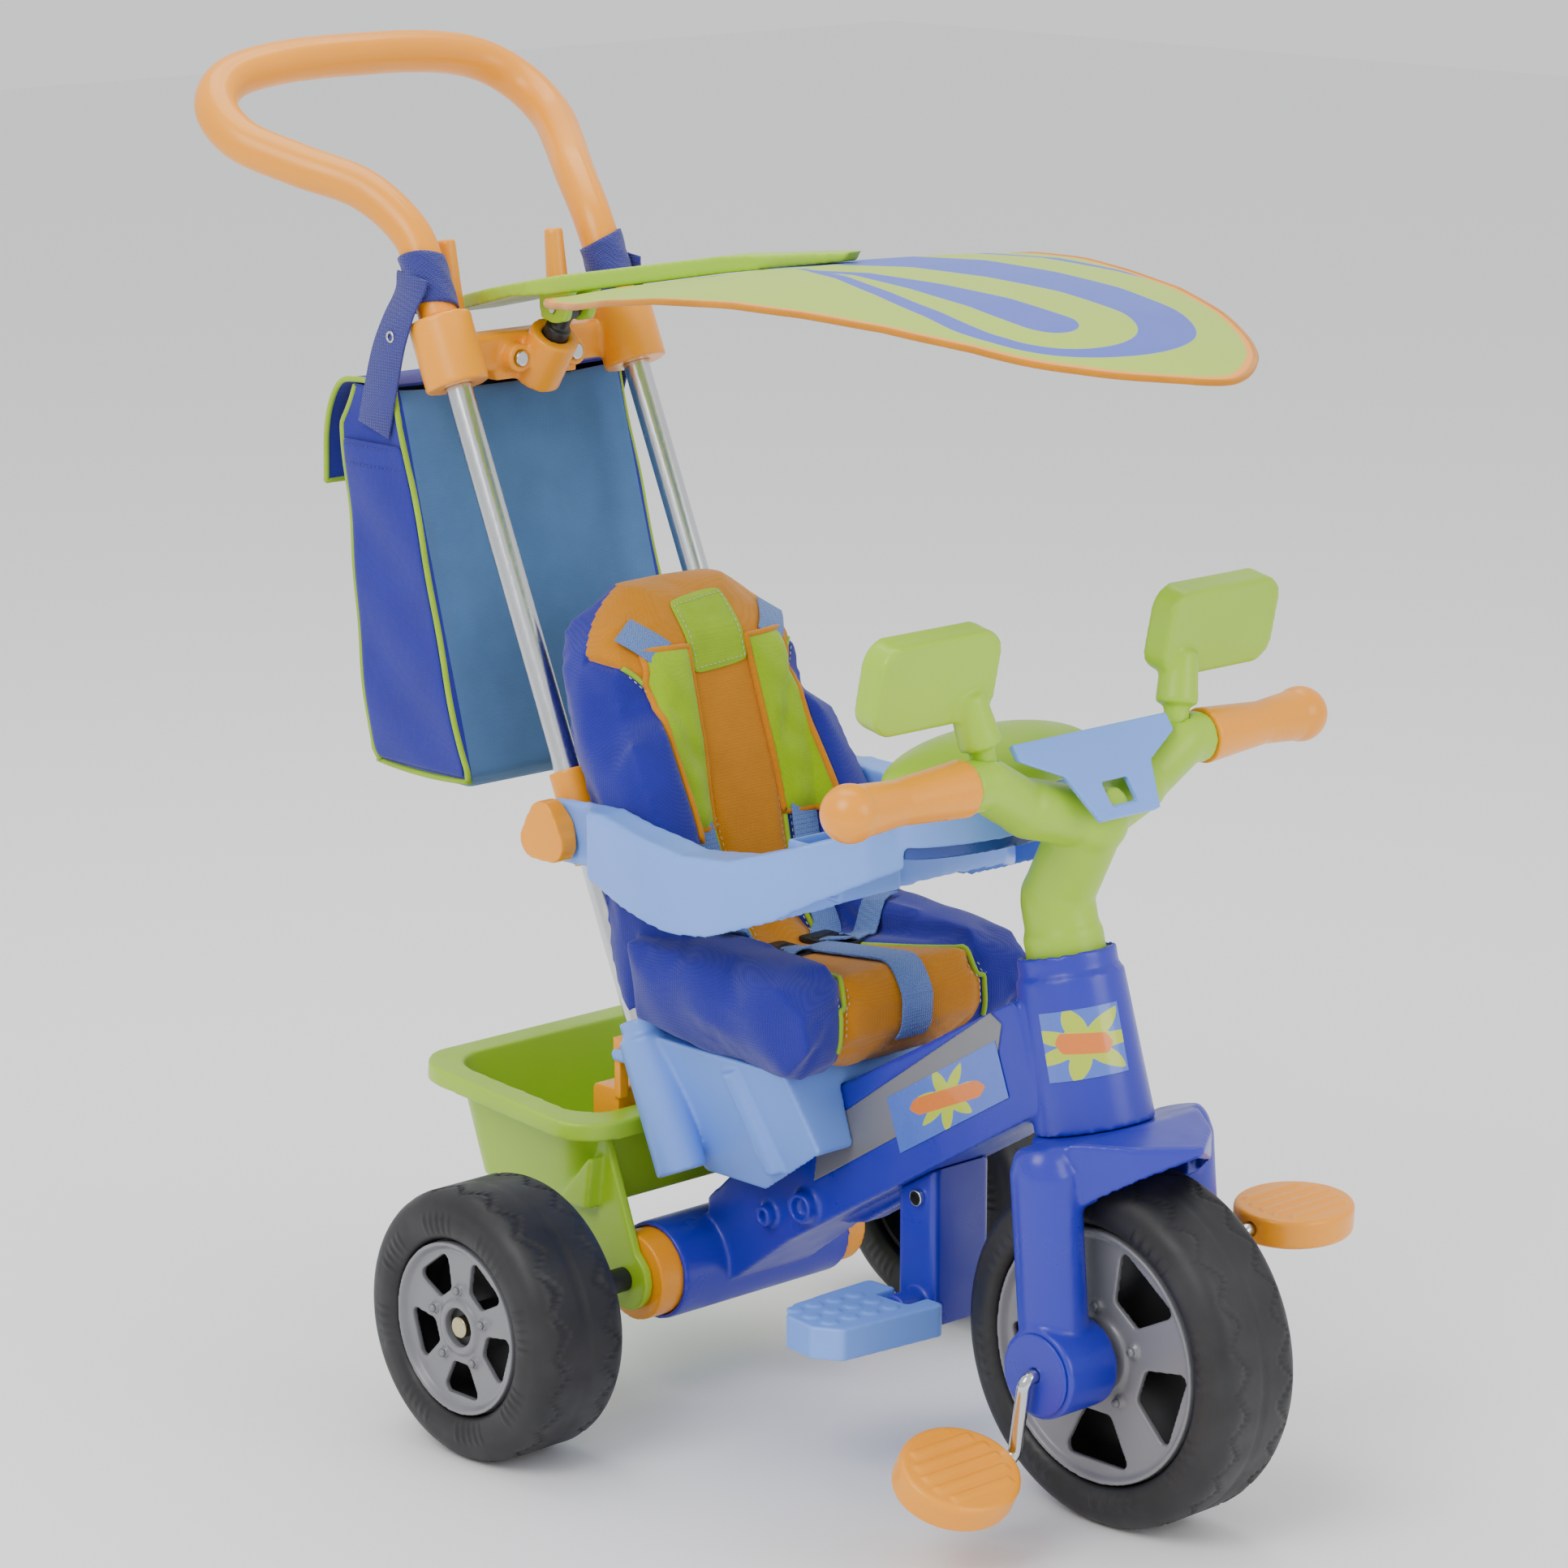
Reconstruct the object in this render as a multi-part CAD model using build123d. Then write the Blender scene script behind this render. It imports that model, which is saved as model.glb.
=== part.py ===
"""Children's tricycle with a parent push handle, sun canopy, safety tray and rear basket.

Millimetres, +Z up, +X forwards, +Y to the rider's left.  Every solid is drawn with X
measured from the rear axle, and save() moves it so that the origin lies on the floor under
the middle of the tricycle.  The right-hand piece of each pair is drawn and mirrored.
"""
import math
import os

from build123d import *

# ---------------------------------------------------------------- driving dimensions
wheelbase = 401.0
front_tyre_d = 250.0
front_tyre_w = 78.0
front_bead_r = 92.0
rear_tyre_d = 200.0
rear_tyre_w = 82.0
rear_bead_r = 64.0
rear_track = 470.0            # between the middles of the rear tyres
tyre_wall = 4.0
tyre_mouth = 24.0             # opening of the hollow tyre towards the hub
shoulder_r = 15.0
rim_step = 10.0               # wheel core's edge in from the tyre's side
hub_wall = 9.0
rear_hub_reach = 30.0         # hub tube's half length

handle_rear = 425.0           # rear axle back to the middle of the push handle's top bar
handle_top = 961.0
handle_tube_d = 30.0
handle_half_w = 150.0
handle_bend_r = 40.0

tube_d = 20.0                 # aluminium push tubes
tube_wall = 1.5
tube_half_gap = 88.0          # middle of each push tube from the centre plane
tube_top_x = -211.0           # a point on the tube axis, high up
tube_top_z = 751.0
tube_lean = 0.44              # forward travel for each unit of drop
tube_foot_z = 216.0
tube_head_z = 815.0

axle_tube_d = 74.0
axle_tube_half = 84.0
axle_rod_d = 10.0
axle_cap_r = 8.0
axle_spacer_r = 9.0
bush_plug_d = 66.0
bush_plug_len = 20.0

beam_half_w = 40.0
beam_wall = 4.0
beam_slope = 0.605            # rise of the beam's lower edge for each unit forwards
beam_low_x = 97.0             # a point on that edge
beam_low_z = 135.0
inlay_t = 2.0
boss_reach = 10.0             # screw bosses stand this far out of the beam's sides

head_bottom_x = 366.0         # middle of the steering head's lower rim
head_bottom_z = 275.0
head_top_x = 336.0
head_top_z = 395.0
head_top_d = 72.0
head_bottom_d = 85.0
head_collar_len = 16.0
column_d = 56.0               # turning column inside the head
steer_tube_d = 24.0
steer_tube_wall = 2.0
head_bush_wall = 3.5
head_bush_len = 18.0
crown_gap = 0.6               # between the head's lower rim and the fork crown

fork_half_gap = 45.0          # inner face of each fork leg
fork_leg_t = 46.0
fork_leg_w = 50.0
fork_eye_r = 32.0
fork_bush_r = 9.0
wheel_well = 4.0              # clearance over the front tyre
crank_r = 61.0
crank_angle = -99.0           # of the right-hand crank arm, from straight ahead
crank_rod_d = 10.0
crank_plane = 104.0
crank_bend_r = 8.0
pedal_mid = 160.0
pedal_len = 94.0
pedal_w = 80.0
pedal_t = 22.0
pedal_ribs = 5
pedal_rib_step = 11.0
pedal_tilts = {"right": 28.0, "left": 4.0}

bar_d = 38.0
bar_x = 351.0                 # middle line of the handlebar's outer ends
bar_z = 531.0
grip_core_d = 22.0
grip_start = 118.0
grip_len = 105.0
grip_ball_r = 20.0
mirror_w = 112.0
mirror_h = 64.0
mirror_t = 22.0

saddle_top_z = 284.0
saddle_wall = 5.0
socket_r = 19.0
socket_top_z = 292.0
socket_foot_z = 186.0
seat_half_w = 100.0
seat_shell_half_w = 66.0
seat_shell_t = 5.0

tray_pivot_z = 427.0
clamp_stud_r = 5.0
tray_wall = 3.0
tray_side_gap = 103.0         # inner face of the tray's hinge discs
tray_disc_t = 9.0
knob_r = 25.0
knob_t = 17.0
lid_x = 262.0                 # middle of the oval lid
lid_half_l = 40.0
lid_half_w = 100.0
lid_base_z = 504.0
lid_dome = 38.0
lid_hinge_out = 4.5           # hinge line behind the lid's edge
lid_hinge_z = 507.0
lid_pin_r = 2.0

latch_x = -27.0
latch_z = 262.0
latch_pin_r = 2.5
latch_arm_t = 9.0

basket_rear_x = -200.0
basket_front_x = -2.0
basket_half_w = 150.0
basket_rim_z = 228.0          # rim's top in the middle of the basket
basket_rim_tilt = 4.5
basket_rim_w = 16.0
basket_rim_h = 14.0
basket_floor_z = 146.0
basket_taper = 34.0
basket_wall = 3.0
basket_foot_t = 8.0

canopy_t = 4.0
canopy_pivot_x = -182.0
canopy_pivot_z = 790.0
canopy_pin_r = 3.0
canopy_post_d = 20.0
canopy_post_dir = Vector(42, 0, 63).normalized()

bag_half_w = 112.0
bag_wall = 2.0
strap_t = 1.6

footrest_axis_x = 221.0
footrest_axis_z = 116.0
footrest_pin_r = 6.0
footrest_arm_r = 12.0
footrest_top = 10.0           # tread surface above the folding axis
footrest_depth = 24.0

fit = 0.05                    # radial clearance of a running shaft
seat_gap = 0.2                # between fixed pieces that sit in each other
bolt_head_r = 6.0

# ---------------------------------------------------------------- values worked out
front_r = front_tyre_d / 2
rear_r = rear_tyre_d / 2
centre_x = (wheelbase + front_r - handle_rear - handle_tube_d / 2) / 2
rear_mid = rear_track / 2
rear_outer = rear_mid + rear_tyre_w / 2
fork_outer = fork_half_gap + fork_leg_t
rake_dir = Vector(head_top_x - head_bottom_x, 0, head_top_z - head_bottom_z).normalized()
head_len = math.hypot(head_top_x - head_bottom_x, head_top_z - head_bottom_z)


# ---------------------------------------------------------------- drawing helpers
def block(x0, x1, y0, y1, z0, z1):
    """Box between two corners."""
    middle = Pos((x0 + x1) / 2, (y0 + y1) / 2, (z0 + z1) / 2)
    return middle * Box(x1 - x0, y1 - y0, z1 - z0)


def rod(start, end, radius):
    """Round bar between two points."""
    a = Vector(*start)
    b = Vector(*end)
    return Plane(a + (b - a) / 2, z_dir=b - a) * Cylinder(radius, (b - a).length)


def cone(start, end, r_start, r_end):
    """Round bar that tapers between two points."""
    a = Vector(*start)
    b = Vector(*end)
    return Plane(a + (b - a) / 2, z_dir=b - a) * Cone(r_start, r_end, (b - a).length)


def outline(points):
    """Closed face through the points."""
    return make_face(Polyline(*points, close=True))


def side_plate(points, y0, y1):
    """Side-view outline, as (x, z) points, from y0 to y1."""
    plane = Plane((0, y1, 0), x_dir=(1, 0, 0), z_dir=(0, -1, 0))
    return extrude(plane * outline(points), y1 - y0)


def top_plate(points, z0, z1):
    """Top-view outline, as (x, y) points, from z0 to z1."""
    return extrude(Plane((0, 0, z0)) * outline(points), z1 - z0)


def front_plate(points, x0, x1):
    """Front-view outline, as (y, z) points, from x0 to x1."""
    plane = Plane((x0, 0, 0), x_dir=(0, 1, 0), z_dir=(1, 0, 0))
    return extrude(plane * outline(points), x1 - x0)


def both_sides(shape):
    """The right-hand shape and its left-hand copy."""
    return [shape, mirror(shape, about=Plane.XZ)]


def along_head(distance):
    """Point on the steering axis, measured up from the head's lower rim."""
    return Vector(head_bottom_x, 0, head_bottom_z) + rake_dir * distance


def tube_x(z):
    """X of the push tubes' middle at height z."""
    return tube_top_x + tube_lean * (tube_top_z - z)


def tube_point(z):
    """Middle of the right-hand push tube at height z."""
    return (tube_x(z), -tube_half_gap, z)


def tube_space(low, high, extra):
    """Room for both push tubes between two heights, larger by extra all round."""
    return both_sides(rod(tube_point(low), tube_point(high), tube_d / 2 + extra))


def without(body, cutters):
    """The body less each of the cutters."""
    for cutter in cutters:
        body -= cutter
    return body


def joined(*parts):
    """One body from overlapping parts."""
    body = parts[0]
    for part in parts[1:]:
        body += part
    return body


def round_edges(shape, radius, axis=None):
    """Fillet every edge, or only those along one axis, as far as the radius fits."""
    edges = shape.edges() if axis is None else shape.edges().filter_by(axis)
    return fillet(edges, radius)


nodes = {}


def save(name, *solids):
    """Keep a node's solids, moved so that the origin is under the tricycle's middle."""
    moved = [Pos(-centre_x, 0, 0) * solid for solid in solids]
    nodes[name] = moved[0] if len(moved) == 1 else Compound(children=moved)


def save_both(name, shape):
    """Keep a right-hand piece and its mirrored left-hand piece as one node."""
    save(name, *both_sides(shape))


def save_pair(name, shape):
    """Keep a right-hand piece and its mirrored left-hand piece as two nodes."""
    right, left = both_sides(shape)
    save(f"{name}_right", right)
    save(f"{name}_left", left)


# ---------------------------------------------------------------- wheels
def tyre(tyre_r, bead_r, width):
    """Hollow tyre: rounded tread and side walls, open towards the hub."""
    deep = tyre_r - bead_r
    skin = RectangleRounded(deep, width, shoulder_r)
    inner = RectangleRounded(deep - 2 * tyre_wall, width - 2 * tyre_wall, shoulder_r - tyre_wall)
    mouth = Pos(-deep / 2, 0) * Rectangle(4 * tyre_wall, tyre_mouth)
    return revolve(Pos((tyre_r + bead_r) / 2, 0) * (skin - inner - mouth), Axis.Y)


def wheel_core(bead_r, width, hub_reach, bore_r):
    """Barrel, web and hub tube that carry the tyre."""
    reach = width / 2 - rim_step
    barrel = Rot(90) * (Cylinder(bead_r - seat_gap, 2 * reach) - Cylinder(bead_r - 4, 2 * reach))
    web = Rot(90) * Cylinder(bead_r - 3.9, 5)
    hub = Rot(90) * Cylinder(bore_r + hub_wall, 2 * hub_reach)
    bore = Rot(90) * Cylinder(bore_r, width * 2)
    return joined(barrel, web, hub) - bore


def wheel_cover(bead_r, width, hub_r, boss_r, window_in, window_out):
    """Right-hand wheel cover: dished disc with five windows and five bolt bosses."""
    side = -width / 2
    back = side + rim_step
    profile = [
        (hub_r, back + 2), (bead_r - 6, back + 2), (bead_r - 6, back - seat_gap),
        (bead_r - 0.6, back - seat_gap), (bead_r - 0.6, side + 1), (bead_r - 3, side + 1),
        (bead_r - 7, side + 7), (boss_r, side + 7), (boss_r - 3, side + 4), (hub_r, side + 4),
    ]
    disc = revolve(outline(profile), Axis.Y)
    narrow, wide = 0.30 * window_in, 0.40 * window_out
    for turn in range(5):
        window = side_plate([(window_in, -narrow), (window_out, -wide), (window_out, wide),
                             (window_in, narrow)], -width / 2 - 1, width / 2)
        window = round_edges(window, 5, Axis.Y)
        disc -= Rot(0, 90 + 72 * turn, 0) * window
        boss = Pos(boss_r + 6, side + 6, 0) * Rot(90) * Cylinder(4, 4)
        disc += Rot(0, 126 + 72 * turn, 0) * boss
    return disc


def build_rear_wheels():
    """Two free wheels on the fixed rear rod."""
    tyre_ring = tyre(rear_r, rear_bead_r, rear_tyre_w)
    bore_r = axle_rod_d / 2 + fit
    core = wheel_core(rear_bead_r, rear_tyre_w, rear_hub_reach, bore_r)
    cover = wheel_cover(rear_bead_r, rear_tyre_w, bore_r + hub_wall + seat_gap, 22, 27, 52)
    right = Pos(0, -rear_mid, rear_r)
    save_pair("rear_tyre", right * tyre_ring)
    save_pair("rear_wheel_core", right * core)
    save_pair("rear_wheel_cover", right * cover)


def build_rear_axle():
    """Steel rod, its end caps, the spacers, and the plugs that centre it in the cross tube."""
    half = rear_outer - 8
    rod_r = axle_rod_d / 2
    hole = rod((0, 0, rear_r), (0, -half - seat_gap, rear_r), rod_r + seat_gap / 2)
    save("rear_axle_rod", rod((0, -half, rear_r), (0, half, rear_r), rod_r))
    wheel_side = rear_mid + rear_hub_reach + 0.3
    cap = rod((0, -half - 3, rear_r), (0, -wheel_side, rear_r), axle_cap_r)
    save_both("axle_end_caps", cap - hole)
    plug_end = axle_tube_half + bush_plug_len
    plug = rod((0, -axle_tube_half - seat_gap, rear_r), (0, -plug_end, rear_r), bush_plug_d / 2)
    spigot_r = axle_tube_d / 2 - beam_wall - seat_gap
    plug += rod((0, -axle_tube_half + 15, rear_r), (0, -axle_tube_half - 1, rear_r), spigot_r)
    save_both("axle_plugs", plug - hole)
    foot_end = plug_end + seat_gap + basket_foot_t
    spacer = rod((0, -foot_end - seat_gap, rear_r),
                 (0, -rear_mid + rear_hub_reach + 0.3, rear_r), axle_spacer_r)
    save_both("axle_spacers", spacer - hole)


def build_front_wheel():
    """Driven wheel: tyre, core and covers fixed on the bent crank rod."""
    place = Pos(wheelbase, 0, front_r)
    save("front_tyre", place * tyre(front_r, front_bead_r, front_tyre_w))
    bore_r = crank_rod_d / 2 + seat_gap / 2
    save("front_wheel_core",
         place * wheel_core(front_bead_r, front_tyre_w, front_tyre_w / 2, bore_r))
    cover = wheel_cover(front_bead_r, front_tyre_w, bore_r + hub_wall + seat_gap, 30, 42, 78)
    save_pair("front_wheel_cover", place * cover)


# ---------------------------------------------------------------- crank and pedals
def crank_pin(side):
    """X and Z of the pedal pin on one side: -1 right, 1 left."""
    angle = math.radians(crank_angle)
    return (wheelbase - side * crank_r * math.cos(angle), front_r - side * crank_r * math.sin(angle))


def build_crank():
    """One steel rod, bent into an axle, two arms and two pedal pins."""
    pin_end = pedal_mid + pedal_len / 2 - 12
    right_x, right_z = crank_pin(-1)
    left_x, left_z = crank_pin(1)
    route = FilletPolyline(
        (right_x, -pin_end, right_z), (right_x, -crank_plane, right_z),
        (wheelbase, -crank_plane, front_r), (wheelbase, crank_plane, front_r),
        (left_x, crank_plane, left_z), (left_x, pin_end, left_z), radius=crank_bend_r)
    start = Plane(route @ 0, z_dir=route % 0)
    save("crank_rod", sweep(start * Circle(crank_rod_d / 2), path=route))


def pedal():
    """Oval tread block with raised ribs."""
    body = extrude(Ellipse(pedal_w / 2, pedal_len / 2), pedal_t)
    body = Pos(0, 0, -pedal_t / 2) * fillet(body.edges(), 4)
    for index in range(pedal_ribs):
        offset = pedal_rib_step * (index - (pedal_ribs - 1) / 2)
        half = math.sqrt(1 - (2 * offset / pedal_w) ** 2) * pedal_len / 2 - 12
        body += block(offset - 2.5, offset + 2.5, -half, half, pedal_t / 2 - 1, pedal_t / 2 + 1.6)
    return body


def build_pedals():
    """Right and left pedals on their pins."""
    pin_end = pedal_mid + pedal_len / 2 - 12
    for side, name in ((-1, "right"), (1, "left")):
        x, z = crank_pin(side)
        block_shape = pedal()
        bore_end = side * (pin_end - pedal_mid + 1)
        bore = rod((0, -side * pedal_len, 0), (0, bore_end, 0), crank_rod_d / 2 + fit)
        shape = Rot(0, pedal_tilts[name], 0) * (block_shape - bore)
        save(f"pedal_{name}", Pos(x, side * pedal_mid, z) * shape)


# ---------------------------------------------------------------- fork and steering
def fork_leg():
    """Right-hand leg with its axle eye."""
    y = -(fork_half_gap + fork_leg_t / 2 - 0.5)
    foot = Vector(wheelbase - 6, y, front_r)
    top = Vector(383, y, 262)
    plane = Plane(foot, x_dir=(1, 0, 0.1), z_dir=top - foot)
    leg = extrude(plane * Ellipse(fork_leg_w / 2, fork_leg_t / 2 + 0.5), (top - foot).length)
    leg += Pos(*top) * Sphere(fork_leg_t / 2)
    eye = rod((wheelbase, -fork_half_gap + 1, front_r), (wheelbase, -fork_outer - 1, front_r),
              fork_eye_r)
    return leg + eye


def mudguard_hood(shrink):
    """Pointed hood over the front tyre, smaller all round by shrink."""
    side = side_plate([(364, 236), (398, 232), (466 - shrink, 276 - shrink),
                       (467 - shrink, 281 - shrink), (408, 284 - shrink), (364, 274 - shrink)],
                      -90, 90)
    plan = top_plate([(364, -68 + shrink), (402, -66 + shrink), (440, -38 + shrink),
                      (467 - 2 * shrink, 0), (440, 38 - shrink), (402, 66 - shrink),
                      (364, 68 - shrink)], 200, 320)
    return side & plan


def build_fork():
    """Crown, neck, two legs and the pointed mudguard."""
    crown = cone(along_head(-crown_gap), along_head(-30), head_bottom_d / 2 + 1,
                 head_bottom_d / 2 + 12)
    hollow = mudguard_hood(4) & block(412, 480, -90, 90, 200, 320)
    body = joined(mudguard_hood(0) - hollow, crown, *both_sides(fork_leg()))
    body -= rod(along_head(-crown_gap), along_head(90), head_bottom_d)
    body -= Pos(wheelbase, 0, front_r) * Rot(90) * Cylinder(front_r + wheel_well,
                                                            2 * fork_half_gap)
    body += rod(along_head(-8), along_head(34), column_d / 2)
    body -= rod((wheelbase, -120, front_r), (wheelbase, 120, front_r), fork_bush_r + seat_gap)
    save("fork", body - rod(along_head(-16), along_head(60), steer_tube_d / 2 + seat_gap))


def build_fork_fittings():
    """Axle bushes in the fork eyes, the blue end caps and the steering tube."""
    bush = rod((wheelbase, -fork_half_gap, front_r), (wheelbase, -fork_outer + 1, front_r),
               fork_bush_r)
    bush -= rod((wheelbase, 0, front_r), (wheelbase, -120, front_r), crank_rod_d / 2 + fit)
    save_both("fork_bushes", bush)
    face = fork_outer + 1 + seat_gap
    cap = rod((wheelbase, -face, front_r), (wheelbase, -face - 3, front_r), fork_eye_r - 3)
    cap -= rod((wheelbase, 0, front_r), (wheelbase, -120, front_r), crank_rod_d / 2 + fit)
    save_both("fork_end_caps", cap)
    outer = steer_tube_d / 2
    tube = rod(along_head(-14), along_head(150), outer)
    tube -= rod(along_head(-30), along_head(200), outer - steer_tube_wall)
    save("steering_tube", tube)


def build_head_bushes():
    """Two plastic bearings between the head and the turning column."""
    outer = column_d / 2 + fit + head_bush_wall
    rings = []
    for low in (2.0, head_len - head_bush_len - 2):
        ring = rod(along_head(low), along_head(low + head_bush_len), outer)
        rings.append(ring - rod(along_head(-20), along_head(head_len + 20), column_d / 2 + fit))
    save("head_bushes", *rings)


def handlebar_body():
    """Raised stem, bent arms and the cores that carry the grips."""
    top = Vector(357, 0, 492)
    bend = Vector(327, 0, 432)
    collar_top = along_head(head_len + 14)
    body = rod(along_head(36), collar_top, column_d / 2)
    body += rod(collar_top - rake_dir * 4, bend, 26)
    body += Pos(*bend) * Sphere(25.5)
    body += rod(bend, top, 25)
    body += Pos(*top) * Sphere(27)
    for side in (-1, 1):
        elbow = Vector(350, side * 58, 508)
        outer = Vector(bar_x, side * 98, bar_z)
        end = Vector(bar_x, side * grip_start, bar_z)
        tip = Vector(bar_x, side * (grip_start + grip_len), bar_z)
        body += rod(top, elbow, bar_d / 2 + 2)
        body += Pos(*elbow) * Sphere(bar_d / 2 + 1)
        body += rod(elbow, outer, bar_d / 2)
        body += Pos(*outer) * Sphere(bar_d / 2 - 0.5)
        body += rod(outer, end, bar_d / 2 - 1)
        body += rod(end, tip, grip_core_d / 2)
    return body


def mirror_socket(extra):
    """Spigot of the right-hand mirror stalk, thicker by extra."""
    return rod((bar_x, -92, 520), (347, -97, 556), 9 + extra)


def build_handlebar():
    """Handlebar, grips, mirrors and the middle panel."""
    body = handlebar_body() - rod(along_head(30), along_head(151), steer_tube_d / 2 + seat_gap)
    body = without(body, both_sides(mirror_socket(seat_gap)))
    body += rod((357, 0, 492), (383, 0, 511), 10)
    panel_space = side_plate([(346, 560), (391, 499), (410, 512), (372, 590)], -80, 80)
    save("handlebar", body - panel_space)

    waist = grip_start + 62
    sleeve = cone((bar_x, -grip_start - 0.3, bar_z), (bar_x, -waist, bar_z), 20, 15.5)
    sleeve += cone((bar_x, -waist, bar_z), (bar_x, -waist - 33, bar_z), 15.5, 18)
    sleeve += Pos(bar_x, -grip_start - grip_len, bar_z) * Sphere(grip_ball_r)
    core = rod((bar_x, 0, bar_z), (bar_x, -grip_start - grip_len - seat_gap, bar_z),
               grip_core_d / 2 + seat_gap)
    save_pair("grip", sleeve - core)

    stalk = mirror_socket(0) + cone((347, -97, 556), (341, -106, 592), 15, 13)
    head = round_edges(Box(mirror_t, mirror_w, mirror_h), 18, Axis.X)
    save_pair("mirror", stalk + Pos(340, -140, 607) * Rot(0, 12, 0) * head)

    plate = side_plate([(352, 552.4), (391.3, 499.2), (395.3, 502.2), (356, 555.4)], -76, 76)
    wings = front_plate([(-76, 560), (-76, 544), (-42, 530), (-27, 496), (27, 496), (42, 530),
                         (76, 544), (76, 560)], 320, 410)
    window = block(360, 410, -13, 13, 508, 523)
    save("handlebar_panel", (plate & wings) - window)


# ---------------------------------------------------------------- main frame
def beam_outline(inset):
    """Side view of the main beam, moved inwards by inset."""
    return [(10 + inset, 100 + inset), (40, 92 + inset), (97, 135 + inset), (335, 279 + inset),
            (350 - inset, 290), (326 - inset, 365 - inset), (120, 248 - inset),
            (12 + inset, 150 - inset)]


def inlay_outline(inset):
    """Right-hand grey panel's outline and thickness, smaller by inset."""
    points = [(126 + inset, 188 + inset), (306 - inset, 299 + inset), (314 - inset, 345),
              (302, 351 - inset), (160 + inset, 250 - inset), (133 + inset, 232)]
    return side_plate(points, -beam_half_w - 0.5, -beam_half_w + inlay_t - inset)


def boss_pair(x, z, radius, reach, depth):
    """Round boss or recess on both sides of the beam."""
    shape = rod((x, -beam_half_w - reach, z), (x, -beam_half_w + depth, z), radius)
    return both_sides(shape)


def build_main_frame():
    """Beam, steering head and rear cross tube in one moulding."""
    beam = side_plate(beam_outline(0), -beam_half_w, beam_half_w)
    beam = round_edges(beam, 6, Axis.Y)
    hollow = side_plate(beam_outline(beam_wall), -beam_half_w + beam_wall,
                        beam_half_w - beam_wall)
    cross = rod((0, -axle_tube_half, rear_r), (0, axle_tube_half, rear_r), axle_tube_d / 2)
    collar_low = along_head(head_len - head_collar_len)
    head = cone(along_head(0), collar_low, head_bottom_d / 2, head_top_d / 2 + 2)
    head += rod(collar_low, along_head(head_len), head_top_d / 2 - 1)
    keel = side_plate([(128, 150), (150, 156), (197, 186), (197, 200), (128, 160)], -12, 12)
    bosses = boss_pair(81, 153, 8, boss_reach, 2) + boss_pair(120, 168, 12, boss_reach, 2)
    body = joined(beam, cross, head, keel, *bosses) - hollow
    body = without(body, boss_pair(81, 153, 4, 20, -2) + boss_pair(120, 168, 8, 20, -2))
    body -= rod((0, -100, rear_r), (0, 100, rear_r), axle_tube_d / 2 - beam_wall)
    bush_r = column_d / 2 + fit + head_bush_wall + seat_gap
    body -= rod(along_head(-10), along_head(head_len + 10), bush_r)
    save("main_frame", without(body, both_sides(inlay_outline(0))))
    save_both("beam_inlays", inlay_outline(seat_gap))


# ---------------------------------------------------------------- footrest
def build_footrest():
    """Post under the beam, its crosswise arm and a fold-up tread on each side."""
    axis_x = footrest_axis_x
    axis_z = footrest_axis_z
    post = round_edges(block(200, 238, -28, 28, 102, 230), 5, Axis.Z)
    edge_z = [beam_low_z + beam_slope * (x - beam_low_x) - 0.4 for x in (150, 290)]
    above = side_plate([(150, edge_z[0]), (290, edge_z[1]), (290, 320), (150, 320)], -50, 50)
    arm = rod((axis_x, -52, axis_z), (axis_x, 52, axis_z), footrest_arm_r)
    pin = rod((axis_x, -96, axis_z), (axis_x, 96, axis_z), footrest_pin_r)
    save("footrest_post", joined(post - above, arm, pin))

    top = axis_z + footrest_top
    tread = top_plate([(178, -34), (180, -112), (196, -134), (226, -138), (246, -126),
                       (256, -34)], top - footrest_depth, top)
    tread = round_edges(tread, 6, Axis.Z)
    notch = footrest_arm_r + 4
    slot = block(axis_x - notch, axis_x + notch, -54, -20, 60, 160)
    bore = rod((axis_x, -20, axis_z), (axis_x, -97, axis_z), footrest_pin_r + fit)
    tread -= slot + bore
    for row in range(3):
        for column in range(4):
            place = Pos(192 + 18 * row + 2 * column, -122 + 18 * column, top + 0.5)
            tread += place * Cylinder(5.5, 2)
    save_pair("footrest_tread", tread)


# ---------------------------------------------------------------- seat
def beam_room(extra):
    """The beam's own shape grown sideways and upwards by extra."""
    points = [(10, 100), (97, 100), (335, 279), (350, 290), (326, 365 + extra),
              (120 - extra, 248 + extra), (12, 150 + extra), (-40, 120)]
    return side_plate(points, -beam_half_w - 2 * extra, beam_half_w + 2 * extra)


def build_seat_base():
    """Saddle that carries the seat on the beam, with a socket for each push tube."""
    body = loft([Plane((108, 0, 180)) * Rectangle(150, 122),
                 Plane((62, 0, saddle_top_z)) * Rectangle(176, 186)])
    body -= loft([Plane((110, 0, 170)) * Rectangle(140, 112),
                  Plane((64, 0, saddle_top_z - saddle_wall)) * Rectangle(166, 178)])
    trim = side_plate([(-60, 160), (20, 160), (95, 178), (185, 236), (185, 330), (260, 330),
                       (260, 120), (-60, 120)], -120, 120)
    rib = rod((92, -86, 276), (116, -64, 200), 11)
    socket = rod(tube_point(socket_top_z - 12), tube_point(socket_foot_z), socket_r)
    socket += rod(tube_point(socket_top_z), tube_point(socket_top_z - 14), socket_r - 4)
    ear_x = tube_x(latch_z) - socket_r + 2
    for y0 in (-tube_half_gap - 8, -tube_half_gap + 5):
        ear = block(latch_x, ear_x, y0, y0 + 3, latch_z - 5, latch_z + 5)
        socket = joined(socket, ear, rod((latch_x, y0, latch_z), (latch_x, y0 + 3, latch_z), 5))
    socket += rod((latch_x, -tube_half_gap - 7, latch_z), (latch_x, -tube_half_gap + 7, latch_z),
                  latch_pin_r)
    body = joined(body, *both_sides(rib), *both_sides(socket)) - trim
    body -= beam_room(0.4)
    save("seat_base", without(body, tube_space(tube_foot_z, 320, seat_gap)))


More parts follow.
